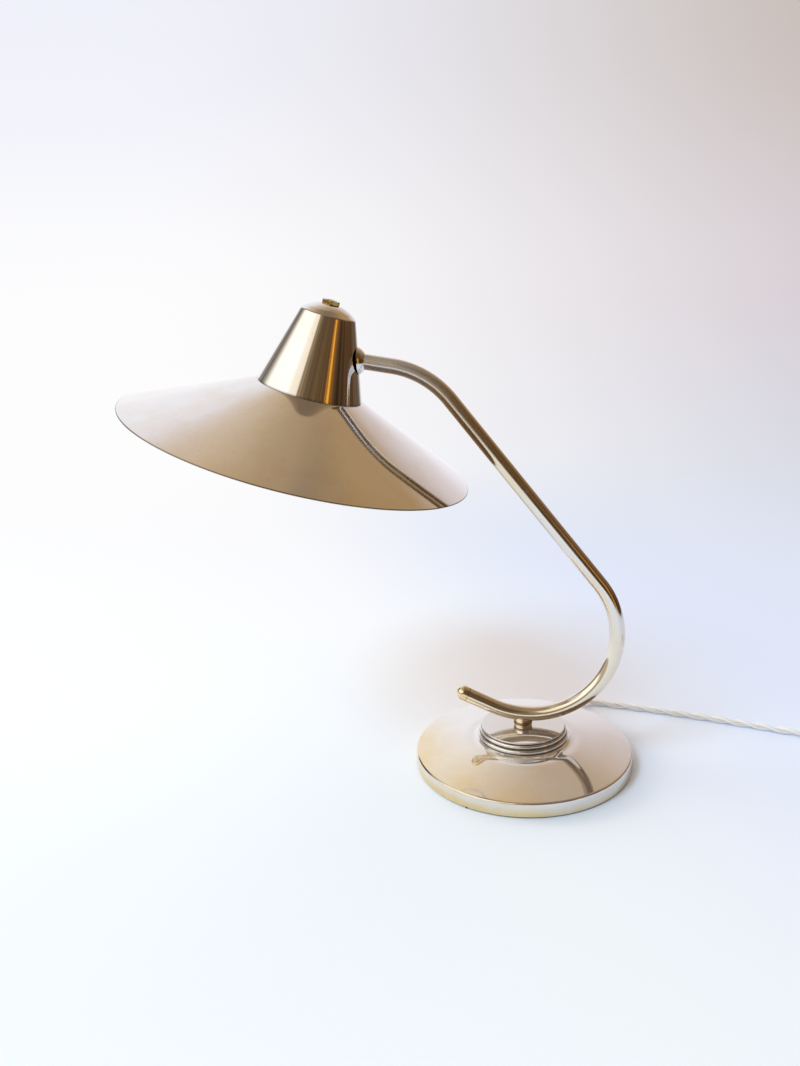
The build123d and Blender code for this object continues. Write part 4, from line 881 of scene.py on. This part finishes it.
class DESKLAMP_OT_arm(bpy.types.Operator):
    """Bend the tube, plug its tail and set it on the stud"""
    bl_idname = "desklamp.arm"
    bl_label = "Arm"

    def execute(self, context):
        lamp = context.scene.desk_lamp
        arm, foot, finish, rod = lamp.arm, lamp.foot, lamp.finish, lamp.head.rod_radius
        spot = arm_places(foot, arm)
        tail_way, tip_way = heading(pi - arm.tail_angle), heading(pi - arm.end_angle)

        def bent(start_angle, finish_at, counts):
            """Centre line from an angle on the bow over the long run and the bend to a last point."""
            run_turn, end_turn = pi / 2 - arm.run_angle, pi / 2 - arm.end_angle
            return [
                arc(spot["bow"], arm.bow_radius, start_angle, 2 * pi + run_turn, counts[0])[:-1],
                run_between(spot["bow_end"], spot["bend_start"], counts[1])[:-1],
                arc(spot["bend"], arm.bend_radius, run_turn, end_turn, counts[2])[:-1],
                run_between(spot["bend_end"], finish_at, 16),
            ]

        stop = spot["tip"] - tip_way * arm.tube_stop
        path = np.concatenate([
            run_between(spot["tail"], spot["bow_start"], 24)[:-1],
            *bent(3 * pi / 2 - arm.tail_angle, stop, (130, 100, 50)),
        ])
        # Thin plate on the tail, the bow and the upper run; on the tail and the bow also a painted reflection of the
        # brass-toned foot under them;
        # a brown film of painted shade on the inner side of the run; and two bright ring scores of the bending tool
        run_start, run = arm.tail_length + arm.bow_radius * (pi + arm.tail_angle - arm.run_angle), arm.run_length
        score_half, score_fade = 0.25 * MM, 0.2 * MM
        wear_and_painted_light_marks = [
            (finish.nickel_worn, 0.1, None, (0, run_start + run), 30 * MM),
            # Worn plate and a painted reflection of the brass-toned foot on the tail and the bow
            (finish.nickel_worn, 0.25, None, (0, arm.tail_length + 1.4 * arm.bow_radius), 80 * MM),
            (finish.nickel_worn, 0.35, None, (run_start + 0.6 * run, run_start + run), 50 * MM),
            # Painted shade: a brown film on the run's inner side
            (finish.tarnish, 0.4, (0.36, 0.62), (run_start + 0.4 * run, run_start + 0.9 * run), 50 * MM),
            *[(finish.nickel, 0.9, (0.55, 0.82), (at - score_half, at + score_half), score_fade)
              for at in (run_start + 0.78 * run, run_start + 0.925 * run)],
        ]
        plate = polished_nickel(
            "polished_nickel_arm", finish, gloss=(0.07, 0.13), lines=(9 * MM, 0.004 * MM),
            streaks=(70, 60 * MM, 0.006 * MM), film_share=0.5, dust=(0.11, (run_start + 1.15 * run, TO_THE_END)),
            satin=(run_start, run_start + run, 0.12), patches=wear_and_painted_light_marks,
        )
        look = ("arm", plate, "nickel_plate")
        dress(surface("arm_tube_plate", tube(path, arm.radius, ACROSS, 64)), *look, "arm_tube")
        seam = 0.25 * MM
        straight = arm.cap_length - arm.radius
        angles = np.linspace(0, np.pi / 2, 24)[:-1]
        cap = np.concatenate([
            soften([(arm.radius - seam, 0), (arm.radius, seam), (arm.radius, straight - seam)], [0, CREASE, 0]),
            np.stack([arm.radius * np.cos(angles), straight + arm.radius * np.sin(angles)], axis=-1),
        ])
        thin = (finish.nickel_worn, 0.7, None, (0, TO_THE_END), MM)
        dirt_and_painted_shade = (finish.tarnish, 0.9, None, (-MM, 0.45 * MM), 0.2 * MM)
        knob = polished_nickel(
            "polished_nickel_tail", finish, gloss=(0.07, 0.13), lines=(2 * MM, 0.001 * MM), film_share=0.6,
            patches=[thin, dirt_and_painted_shade],
        )
        ball = lathe(cap, spot["tail"], tail_way, np.cross(tail_way, ACROSS), 64)
        dress(surface("tail_cap_plate", ball), "arm", knob, "nickel_plate", "tail_cap")
        shoulder = swivel_heights(foot)[3]
        shank_foot, shank_gap, saddle, saddle_top, saddle_taper = 4 * MM, 0.01 * MM, 3.2 * MM, 4.4 * MM, 2 * MM
        stud = np.concatenate([[(rod, shank_foot), (rod, shoulder - shank_gap)], soften([
            (rod, shoulder), (foot.stud_radius, shoulder), (foot.stud_radius, shoulder + saddle),
            (foot.stud_radius - saddle_taper, shoulder + saddle_top),
        ], [0, EDGE, 0.9 * MM, 0])])
        dress(surface("swivel_stud_plate", lathe(stud, np.zeros(3), UP, ACROSS, 96)), *look, "swivel_stud")
        wire_start, wire_show, wire_radius = radians(282), 9.3 * MM, 2.2 * MM
        wire = np.concatenate(bent(wire_start, spot["tip"] + tip_way * wire_show, (80, 60, 30)))
        cloth = bpy.data.materials["rayon_braid"]
        dress(surface("arm_wire_flex", tube(wire, wire_radius, ACROSS, 16)), "arm", cloth, "cloth_cord", "arm_wire")
        return {"FINISHED"}


class DESKLAMP_OT_head(bpy.types.Operator):
    """Spin the shade and the cap, and fit the rosette, the rod and its nut"""
    bl_idname = "desklamp.head"
    bl_label = "Head"

    def execute(self, context):
        lamp = context.scene.desk_lamp
        head, finish = lamp.head, lamp.finish
        origin, up, right = head_frame(lamp)
        top, wall, land, hole = head.shade_height, head.shade_wall, head.land_radius, head.hole_radius
        slope = atan2(top, head.rim_radius - land)
        land_inner = land - wall * (sin(slope) - tan(slope / 2) * cos(slope))
        rim_edge = 0.45 * wall
        shade = soften([
            (hole, top), (land, top), (head.rim_radius, 0), (head.rim_radius - wall * sin(slope), -wall * cos(slope)),
            (land_inner, top - wall), (hole, top - wall),
        ], [0, 0.8 * MM, rim_edge, rim_edge, 0.6 * MM, 0], closed=True)
        rim_run = land - hole + hypot(head.rim_radius - land, top)
        worn_rim = (finish.tarnish, 0.75, None, (rim_run - 0.5 * MM, rim_run + 1.2 * MM), 0.5 * MM)
        satin = polished_nickel(
            "polished_nickel_shade", finish, gloss=(0.045, 0.09), lines=(0.9 * MM, 0.0006 * MM),
            streaks=(40, 30 * MM, 0.006 * MM), film_share=0.5, patches=[worn_rim],
        )
        cone = lathe(shade, origin, up, right, 360)
        dress(surface("shade_plate", cone, closed_rows=True), "head", satin, "nickel_plate", "shade")
        shoulder, shoulder_height, thick = head.shoulder_radius, top + head.flank_height, head.cap_wall
        dome = (shoulder ** 2 + head.dome_rise ** 2) / (2 * head.dome_rise)
        dome_middle = shoulder_height + head.dome_rise - dome
        flat_height = dome_middle + sqrt(dome ** 2 - head.flat_radius ** 2)
        angles = np.linspace(np.arcsin(shoulder / dome), np.arcsin(head.flat_radius / dome), 28)
        crown = np.stack([dome * np.sin(angles), dome_middle + dome * np.cos(angles)], axis=-1)
        shaft = head.rod_radius + ROD_PLAY
        foot_turn, foot_lift, shoulder_end = 0.9 * MM, 0.02 * MM, 9
        cap = np.concatenate([
            soften([
                (head.foot_radius - foot_turn, top), (head.foot_radius, top + foot_lift), (shoulder, shoulder_height),
                tuple(crown[shoulder_end]),
            ], [0, 0.3 * MM, head.shoulder_edge, 0]),
            crown[shoulder_end + 1:],
            [(shaft, flat_height), (shaft, flat_height - thick), (head.flat_radius, flat_height - thick)],
            [(shoulder - thick, shoulder_height - thick)],
        ])
        raw_edge = (finish.steel, 0.8, None, (-MM, 1.9 * MM), 0.4 * MM)
        mirror = polished_nickel(
            "polished_nickel_cap", finish, gloss=(0.04, 0.08), lines=(0.7 * MM, 0.0006 * MM),
            streaks=(46, 45 * MM, 0.014 * MM), patches=[raw_edge],
        )
        cone = lathe(cap, origin, up, np.cross(up, right), 288)
        shell = surface("cone_cap_plate", cone, closed_rows=True, sharp=radians(24))
        dress(shell, "head", mirror, "nickel_plate", "cone_cap")
        out = heading(atan((head.foot_radius - shoulder) / head.flank_height) - head.lean)
        tip = arm_places(lamp.foot, lamp.arm)["tip"]
        sphere, rosette_edge, pole = head.rosette_sphere, 0.3 * MM, 0.03
        angles = np.linspace(np.arcsin(head.rosette_radius / sphere), pole, 30)
        rise = sphere * np.cos(angles) - sqrt(sphere ** 2 - head.rosette_radius ** 2)
        rosette = np.concatenate([
            [(TIP_RING, 0), (head.rosette_radius - rosette_edge, 0)],
            np.stack([sphere * np.sin(angles), rise], axis=-1),
        ])
        small = polished_nickel("polished_nickel_rosette", finish, gloss=(0.05, 0.10), lines=(0.4 * MM, 0.0005 * MM))
        domed = lathe(rosette, tip, out, ACROSS, 96)
        dress(surface("rosette_plate", domed), "head", small, "nickel_plate", "rosette")
        brass = turned_brass("turned_brass_nut", finish, (0.06, 0.14), 1.0)
        # A corner of the nut, not a flat, stands at its turn from the arm's cross direction
        flat_turn = head.nut_turn + pi / 6
        flat_way = ACROSS * cos(flat_turn) + np.cross(up, ACROSS) * sin(flat_turn)
        seat = origin + up * flat_height
        nut = hexagon(head.nut_width, head.nut_thickness, head.nut_chamfer, seat, up, flat_way)
        dress(surface("top_nut_brass", nut, sharp=radians(25)), "head", brass, "brass", "top_nut")
        low, high = 66 * MM, flat_height + head.nut_thickness + head.rod_show
        wide, bore = head.rod_radius, head.rod_bore
        rod = soften([(wide, low), (wide, high), (bore, high), (bore, low)], [0, EDGE, CREASE, 0], closed=True)
        hollow = lathe(rod, origin, up, ACROSS, 64)
        dress(surface("top_rod_brass", hollow, closed_rows=True), "head", brass, "brass", "top_rod")
        return {"FINISHED"}


class DESKLAMP_OT_lampholder(bpy.types.Operator):
    """Turn the lampholder's sleeve, its ring and the bulb"""
    bl_idname = "desklamp.lampholder"
    bl_label = "Lampholder"

    def execute(self, context):
        lamp = context.scene.desk_lamp
        head, holder, finish = lamp.head, lamp.holder, lamp.finish
        stand = origin, up, right = head_frame(lamp)
        look = ("head", turned_brass("turned_brass_holder", finish, (0.18, 0.32), 0.5), "brass")
        seat, sleeve, shoulder = head.shade_height, holder.sleeve_radius, holder.shoulder_radius
        shoulder_top, bore = seat + holder.shoulder_height, holder.sleeve_radius - holder.sleeve_wall
        line = soften([
            (bore, holder.mouth_height), (sleeve, holder.mouth_height), (sleeve, seat), (shoulder, seat),
            (shoulder, shoulder_top), (bore, shoulder_top),
        ], [EDGE, EDGE, 0, EDGE, EDGE, 0], closed=True)
        dress(surface("holder_sleeve_brass", lathe(line, *stand, 96), closed_rows=True), *look, "holder_body")
        high = seat - head.shade_wall
        low, rim, ring_edge = high - holder.ring_height, holder.ring_radius, 0.5 * MM
        line = soften(
            [(sleeve, low), (rim, low), (rim, high), (sleeve, high)], [0, ring_edge, ring_edge, 0], closed=True,
        )
        # Knurl: shallow flutes round the ring, cut only in its outer face
        flutes, sides, flute_depth = 80, 480, 0.25 * MM
        outer = np.clip((line[:, 0] - rim + ring_edge) / ring_edge, 0, 1)
        flute = flute_depth * (np.cos(flutes * ring(sides)) - 1) / 2
        grid = lathe(line, *stand, sides) + (outer[:, None] * flute)[..., None] * spokes(up, right, sides)
        dress(surface("shade_ring_brass", grid, closed_rows=True, sharp=radians(60)), *look, "shade_ring")
        globe, neck, tip_share = holder.globe_radius, holder.neck_radius, 0.01
        neck_offset = holder.neck_height - holder.globe_height
        tangent = sqrt(hypot(neck, neck_offset) ** 2 - globe ** 2)
        angles = np.linspace(tip_share - np.pi / 2, atan2(neck_offset, neck) - atan2(tangent, globe), 60)
        ball = np.stack([globe * np.cos(angles), holder.globe_height + globe * np.sin(angles)], axis=-1)
        line = np.concatenate([ball, run_between(ball[-1], np.array([neck, holder.neck_height]), 8)[1:]])
        opal = grained(
            "blown_opal_glass", finish.opal, finish.porcelain, 4 * MM, 0.002 * MM, (0.05, 0.09), Subsurface_Weight=0.4,
            Subsurface_Scale=0.01, Coat_Weight=0.3, Coat_Roughness=0.04,
        )
        dress(surface("bulb_glass_globe", lathe(line, *stand, 96)), "head", opal, "opal_glass", "bulb_glass")
        rows, sides, thread_depth, thread_fade = 90, 96, 0.45 * MM, 8
        heights = np.linspace(holder.neck_height, holder.neck_height + holder.screw_height, rows)[:, None]
        wave = thread_depth * (np.cos(2 * np.pi * heights / holder.screw_pitch - ring(sides)) - 1)
        ends = np.minimum(1, np.minimum(np.arange(rows), np.arange(rows)[::-1]) / thread_fade)[:, None]
        radii = holder.screw_radius + ends * wave
        screw = origin + radii[..., None] * spokes(up, right, sides) + heights[..., None] * up
        contact = np.array([(holder.tip_radius, holder.tip_height), (TIP_RING, holder.tip_height)])
        steel = grained("nickelled_steel", finish.steel, finish.nickel, 0.5 * MM, 0.004 * MM, (0.2, 0.34), 1.0)
        threaded = np.concatenate([screw, lathe(contact, *stand, sides)])
        dress(surface("bulb_cap_screw", threaded), "head", steel, "steel", "bulb_cap")
        return {"FINISHED"}


class DESKLAMP_OT_carried(bpy.types.Operator):
    """Give the carried solids their finishes: switch, plug, grommet, weight and inner hardware"""
    bl_idname = "desklamp.carried"
    bl_label = "Carried pieces"

    def execute(self, context):
        f = context.scene.desk_lamp.finish
        carried = {
            grained("urea_moulding", f.ivory, f.porcelain, 0.6 * MM, 0.004 * MM, (0.24, 0.36)):
                ("switch_lower_shell", "switch_upper_shell", "plug_body"),
            grained("urea_rocker", f.ivory, f.cloth_shade, 0.5 * MM, 0.004 * MM, (0.16, 0.26)): ("switch_rocker",),
            grained("sand_cast_iron", f.iron, f.felt, 1.2 * MM, 0.15 * MM, (0.6, 0.8)): ("base_weight",),
            grained("rubber_bush", f.iron, f.felt, 0.5 * MM, 0.01 * MM, (0.5, 0.65)): ("cord_grommet",),
            grained("glazed_porcelain", f.porcelain, f.opal, 3 * MM, 0.01 * MM, (0.08, 0.16)): ("holder_insert",),
            grained("zinc_plated_steel", f.steel, f.iron, 0.4 * MM, 0.004 * MM, (0.28, 0.42), 1.0): (
                "stud_spring_washer", "stud_nut", "arm_end_washer", "arm_end_nut", "saddle_washer", "switch_screws",
                "rocker_pin",
            ),
            turned_brass("drawn_brass", f, (0.2, 0.35), 0.5): (
                "arm_end_nipple", "inner_lock_nut", "holder_cap", "holder_thread", "holder_contact", "plug_pins",
            ),
        }
        for material, names in carried.items():
            for name in names:
                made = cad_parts[name]
                made.data.materials.clear()
                made.data.materials.append(material)
        return {"FINISHED"}


class DESKLAMP_OT_stage(bpy.types.Operator):
    """Set the floor, the soft lamps and the room that the metal mirrors"""
    bl_idname = "desklamp.stage"
    bl_label = "Stage"

    def execute(self, context):
        studio = context.scene.desk_lamp.studio
        context.scene.view_settings.view_transform = "Standard"
        self.floor(studio)
        self.lamps(context, studio)
        self.room(context, studio)
        return {"FINISHED"}

    def floor(self, studio):
        """Round floor: painted near the lamp, as bright as the backdrop further out."""
        radii = np.concatenate([[0.02], np.linspace(0.2, 2, 10), np.linspace(2.5, 9, 8)])
        rings = radii[:, None, None] * spokes(UP, np.array([1.0, 0.0, 0.0]), 64)
        slab_depth = [0, 0, 0.02]
        ground = surface("studio_floor", np.concatenate([rings, rings[::-1] - slab_depth]))
        made, tree, place = start_material("painted_floor")
        x, y, _ = node(tree, "SeparateXYZ", [place["Object"]]).node.outputs
        flat = node(tree, "CombineXYZ", [x, y])
        away = node(tree, "VectorMath", [flat], operation="LENGTH")
        slant = node(tree, "VectorMath", [flat, (1.0, 0.5, 0.0)], operation="DOT_PRODUCT")
        from_eye = node(tree, "VectorMath", [flat, (*studio.camera_place[:2], 0.0)], operation="SUBTRACT")
        reach = node(tree, "VectorMath", [from_eye], operation="LENGTH")
        east = node(tree, "SeparateXYZ", [node(tree, "VectorMath", [from_eye], operation="NORMALIZE")])
        fade, beyond, cool, near, right, clear_of_eye = (
            node(tree, "MapRange", [value, start, end, 0.0, 1.0], **SMOOTH) for value, start, end in (
                (away, 0.5, 1.4), (away, 0.8, 1.4), (slant, -0.1, 0.38), (y, 0.05, -0.35), (east, -0.4, 0.6),
                (reach, 0.0, 0.42),
            )
        )
        # Even steps in the picture's height are even steps in 1 / distance from the camera
        nearness = node(tree, "Math", [1.0, reach], operation="DIVIDE")
        depth = node(tree, "MapRange", [nearness, 0.62, 0.10, 0.0, 1.0])
        right = node(tree, "Math", [right, clear_of_eye], **TIMES)
        # Painted shade on the floor: the paint turns darker towards the camera and, away from the window, darker and
        # bluer
        pale = node(tree, "Mix", [near, studio.floor, studio.floor_front_shade], **COLOUR)
        coat = node(tree, "Mix", [cool, pale, studio.floor_far_shade], **COLOUR)
        # Painted shade past the floor's edge away from the window: the horizon runs into the far backdrop
        far_right_shade = node(tree, "Mix", [depth, studio.horizon, studio.backdrop_far_shade], **COLOUR)
        colour = node(tree, "Mix", [right, studio.backdrop, far_right_shade], **COLOUR)
        shown = [fade, node(tree, "BsdfDiffuse", [coat]), node(tree, "Emission", [colour, 1.0])]
        # The metal mirrors the room where the floor runs out
        glossy = node(tree, "LightPath").node.outputs["Is Glossy Ray"]
        gone = node(tree, "Math", [beyond, glossy], **TIMES)
        mixed = [gone, node(tree, "MixShader", shown), node(tree, "BsdfTransparent")]
        node(tree, "OutputMaterial", [node(tree, "MixShader", mixed)])
        ground.data.materials.append(made)

    def lamps(self, context, studio):
        """Two soft lamps that the metal doesn't mirror: a cool one high in front, a white one low, both on the left."""
        aim = np.array([-0.05, 0.0, 0.1])
        lamps = (
            ("soft_window", radians(-133), radians(49), 4.0, 1.3, studio.window_power, studio.window_colour),
            ("soft_side", radians(-78), radians(18), 6.0, 2.4, studio.side_power, studio.side_colour),
        )
        for name, bearing, lift, away, size, power, colour in lamps:
            way = np.array([sin(bearing) * cos(lift), cos(bearing) * cos(lift), sin(lift)])
            light = bpy.data.lights.new(name, "AREA")
            light.size = size
            light.energy = power
            light.color = colour
            lamp = bpy.data.objects.new(name, light)
            context.scene.collection.objects.link(lamp)
            lamp.visible_glossy = False
            side = unit(np.cross(UP, way))
            turned = Matrix(np.column_stack([side, np.cross(way, side), way]).tolist())
            lamp.matrix_world = Matrix.Translation(aim + way * away) @ turned.to_4x4()

    def room(self, context, studio):
        """World: the backdrop to the camera, an even light to matt surfaces, a toned room to the metal."""
        world = bpy.data.worlds.new("studio_room")
        context.scene.world = world
        world.use_nodes = True
        tree = world.node_tree
        tree.nodes.clear()
        way = node(tree, "TexCoord").node.outputs["Generated"]
        x, y, high = node(tree, "SeparateXYZ", [way]).node.outputs
        level = node(tree, "VectorMath", [node(tree, "CombineXYZ", [x, y])], operation="NORMALIZE")
        east, north, _ = node(tree, "SeparateXYZ", [level]).node.outputs
        azimuth = node(tree, "Math", [east, north], operation="ARCTAN2")
        around = node(tree, "MapRange", [azimuth, -pi, pi, 0.0, 1.0])
        # The sweep's right edge leans with height and turns in under the horizon; the window's sill rises in front
        right_edge = node(tree, "MapRange", [high, 0.42, 0.56, radians(43), radians(33)])
        turn_in = node(tree, "MapRange", [high, 0.12, -0.05, 0.0, radians(12)], **SMOOTH)
        turned = node(tree, "Math", [azimuth, turn_in], operation="ADD")
        sill = node(tree, "MapRange", [around, 0.02, 0.12, 0.36, 0.14])
        over_sill = node(tree, "Math", [high, sill], operation="SUBTRACT")
        share = {
            name: node(tree, "MapRange", [value, start, end, 0.0, 1.0], **SMOOTH) for name, value, start, end in (
                ("far side", east, -0.4, 0.6), ("backdrop up", high, -0.04, 0.22), ("sweep right", east, -0.37, 0.44),
                ("low east", east, -0.1, 0.3), ("low", high, 0.28, 0.0), ("doorway", high, 0.33, 0.26),
                ("upper", high, 0.30, 0.50), ("upper east", east, -0.2, 0.3),
                ("upper dark", azimuth, radians(40), radians(100)), ("ceiling east", east, 0.2, 0.7),
                ("ceiling", high, 0.72, 0.95), ("sweep from", azimuth, radians(-46), radians(-39)),
                ("sweep to", turned, right_edge, radians(20)), ("window from", azimuth, radians(-174), radians(-169)),
                ("window to", azimuth, radians(-66), radians(-92)), ("over sill", over_sill, 0.0, 0.12),
                ("lintel", high, 0.86, 0.74),
            )
        }
        # What the metal mirrors: a pale sweep behind the lamp that turns tan overhead, greyer to the right; then by
        # bearing, from the camera's back round the left, the walls, a doorway with warm lamplight and the window
        left, right, walls, lamplight, pane = (node(tree, "ValToRGB", [value], stops) for value, stops in (
            (high, (
                (0.00, "#FAFAFF"), (0.26, "#FAFBFF"), (0.42, "#F7F6FD"), (0.57, "#F6F6FD"), (0.71, "#EEEAEE"),
                (0.82, "#D8C7B4"), (0.91, "#CBB495"), (1.00, "#89735D"),
            )),
            (high, (
                (0.00, "#EBE9F2"), (0.26, "#DDD3D6"), (0.42, "#D1C4C0"), (0.57, "#CBB8AA"), (0.71, "#B79F83"),
                (0.82, "#AD9574"), (0.91, "#AD9576"), (1.00, "#89735D"),
            )),
            (around, (
                (0.000, "#8E7B60"), (0.055, "#A69B8C"), (0.111, "#BFB3A4"), (0.222, "#CEC2B3"), (0.283, "#AA9E8E"),
                (0.328, "#7E7973"), (0.370, "#A29C95"), (0.622, "#957F65"), (0.667, "#7E5A38"), (0.742, "#7E5E40"),
                (0.761, "#664A30"), (0.805, "#5A432C"), (0.880, "#624A30"), (0.917, "#6A5438"), (0.970, "#745F48"),
                (1.000, "#8E7B60"),
            )),
            (around, (
                (0.811, "#000000"), (0.822, "#6A4618"), (0.836, "#BA7820"), (0.847, "#FFB838"), (0.856, "#B06A14"),
                (0.868, "#000000"),
            )),
            (around, ((0.010, "#E6D8C4"), (0.070, "#F0E7D7"), (0.095, "#FFFDF8"), (0.250, "#FFFCF6"))),
        ))
        stripe = node(tree, "TexNoise", [azimuth, 8.0, 4.0, 0.65], noise_dimensions="1D")
        uneven = node(tree, "MapRange", [stripe, 0.3, 0.7, 0.5, 1.5])
        low_right, upper_right, in_sweep, window_span, window_rise, in_doorway = (
            node(tree, "Math", pair, **TIMES) for pair in (
                (share["low east"], share["low"]), (share["upper"], share["upper east"]),
                (share["sweep from"], share["sweep to"]), (share["window from"], share["window to"]),
                (share["over sill"], share["lintel"]), (uneven, share["doorway"]),
            )
        )
        dimming = node(tree, "MapRange", [low_right, 0.0, 1.0, 1.0, 0.5])
        wall_share, upper_share, in_window = (node(tree, "Math", pair, **TIMES) for pair in (
            (uneven, dimming), (upper_right, 0.85), (window_span, window_rise),
        ))
        sweep = node(tree, "Mix", [share["sweep right"], left, right], **COLOUR)
        sweep, walls, lamplight, pane = (node(tree, "VectorMath", pair, operation="SCALE") for pair in (
            (sweep, 1.1), (walls, wall_share), (lamplight, in_doorway), (pane, 1.4),
        ))
        walls = node(tree, "VectorMath", [walls, lamplight], operation="ADD")
        upper_wall = node(tree, "Mix", [share["upper dark"], "#B8996F", "#665038"], **COLOUR)
        ceiling = node(tree, "Mix", [share["ceiling east"], "#A08F7A", "#8A7762"], **COLOUR)
        room = walls
        for part, over in (
            (upper_share, upper_wall), (share["ceiling"], ceiling), (in_sweep, sweep), (in_window, pane),
        ):
            room = node(tree, "Mix", [part, room, over], **COLOUR)
        # Painted shade on the backdrop: greyer away from the window and high up
        low_wall = node(tree, "Mix", [share["far side"], studio.backdrop, studio.backdrop_far_shade], **COLOUR)
        top_wall = node(tree, "Mix", [share["far side"], studio.backdrop_up_shade, studio.backdrop_top_shade], **COLOUR)
        backdrop = node(tree, "Mix", [share["backdrop up"], low_wall, top_wall], **COLOUR)
        # The window and the pale sweep give more light than the dark side on the right in front
        dark_way = node(tree, "VectorMath", [way, (0.85, -0.5, 0.0)], operation="DOT_PRODUCT")
        lean = node(tree, "MapRange", [dark_way, -1.0, 1.0, studio.ambient * 2.0, 0.0])
        even, mirrored, shown = (node(tree, "Background", pair) for pair in (
            (studio.ambient_colour, lean), (room, 1.0), (backdrop, 1.0),
        ))
        rays = node(tree, "LightPath").node.outputs
        seen = node(tree, "Math", [rays["Is Camera Ray"], rays["Is Transmission Ray"]], operation="MAXIMUM")
        unseen = node(tree, "MixShader", [rays["Is Glossy Ray"], even, mirrored])
        node(tree, "OutputWorld", [node(tree, "MixShader", [seen, unseen, shown])])


class DESKLAMP_PT_panel(bpy.types.Panel):
    """Buttons and sizes of the desk lamp"""
    bl_idname = "DESKLAMP_PT_panel"
    bl_label = "Desk lamp"
    bl_space_type = "VIEW_3D"
    bl_region_type = "UI"
    bl_category = "Desk lamp"

    def draw(self, context):
        lamp = context.scene.desk_lamp
        for operator in OPERATORS:
            self.layout.operator(operator.bl_idname)
        for group in (lamp.foot, lamp.arm, lamp.head, lamp.holder, lamp.cord, lamp.finish, lamp.studio):
            box = self.layout.box()
            for key in group.__annotations__:
                box.prop(group, key)


GROUPS = (FootSizes, ArmSizes, HeadSizes, HolderSizes, CordSizes, Finishes, StudioSettings, LampSettings)
OPERATORS = (
    DESKLAMP_OT_camera, DESKLAMP_OT_cord, DESKLAMP_OT_foot, DESKLAMP_OT_arm, DESKLAMP_OT_head,
    DESKLAMP_OT_lampholder, DESKLAMP_OT_carried, DESKLAMP_OT_stage,
)


def register():
    for made in (*GROUPS, *OPERATORS, DESKLAMP_PT_panel):
        bpy.utils.register_class(made)
    bpy.types.Scene.desk_lamp = bpy.props.PointerProperty(
        type=LampSettings, name="Desk lamp", description="Settings of the desk lamp",
    )


def unregister():
    del bpy.types.Scene.desk_lamp
    for made in reversed((*GROUPS, *OPERATORS, DESKLAMP_PT_panel)):
        bpy.utils.unregister_class(made)


def main():
    register()
    bpy.ops.desklamp.camera()
    bpy.ops.desklamp.cord()
    bpy.ops.desklamp.foot()
    bpy.ops.desklamp.arm()
    bpy.ops.desklamp.head()
    bpy.ops.desklamp.lampholder()
    bpy.ops.desklamp.carried()
    bpy.ops.desklamp.stage()


if __name__ == "__main__":
    main()
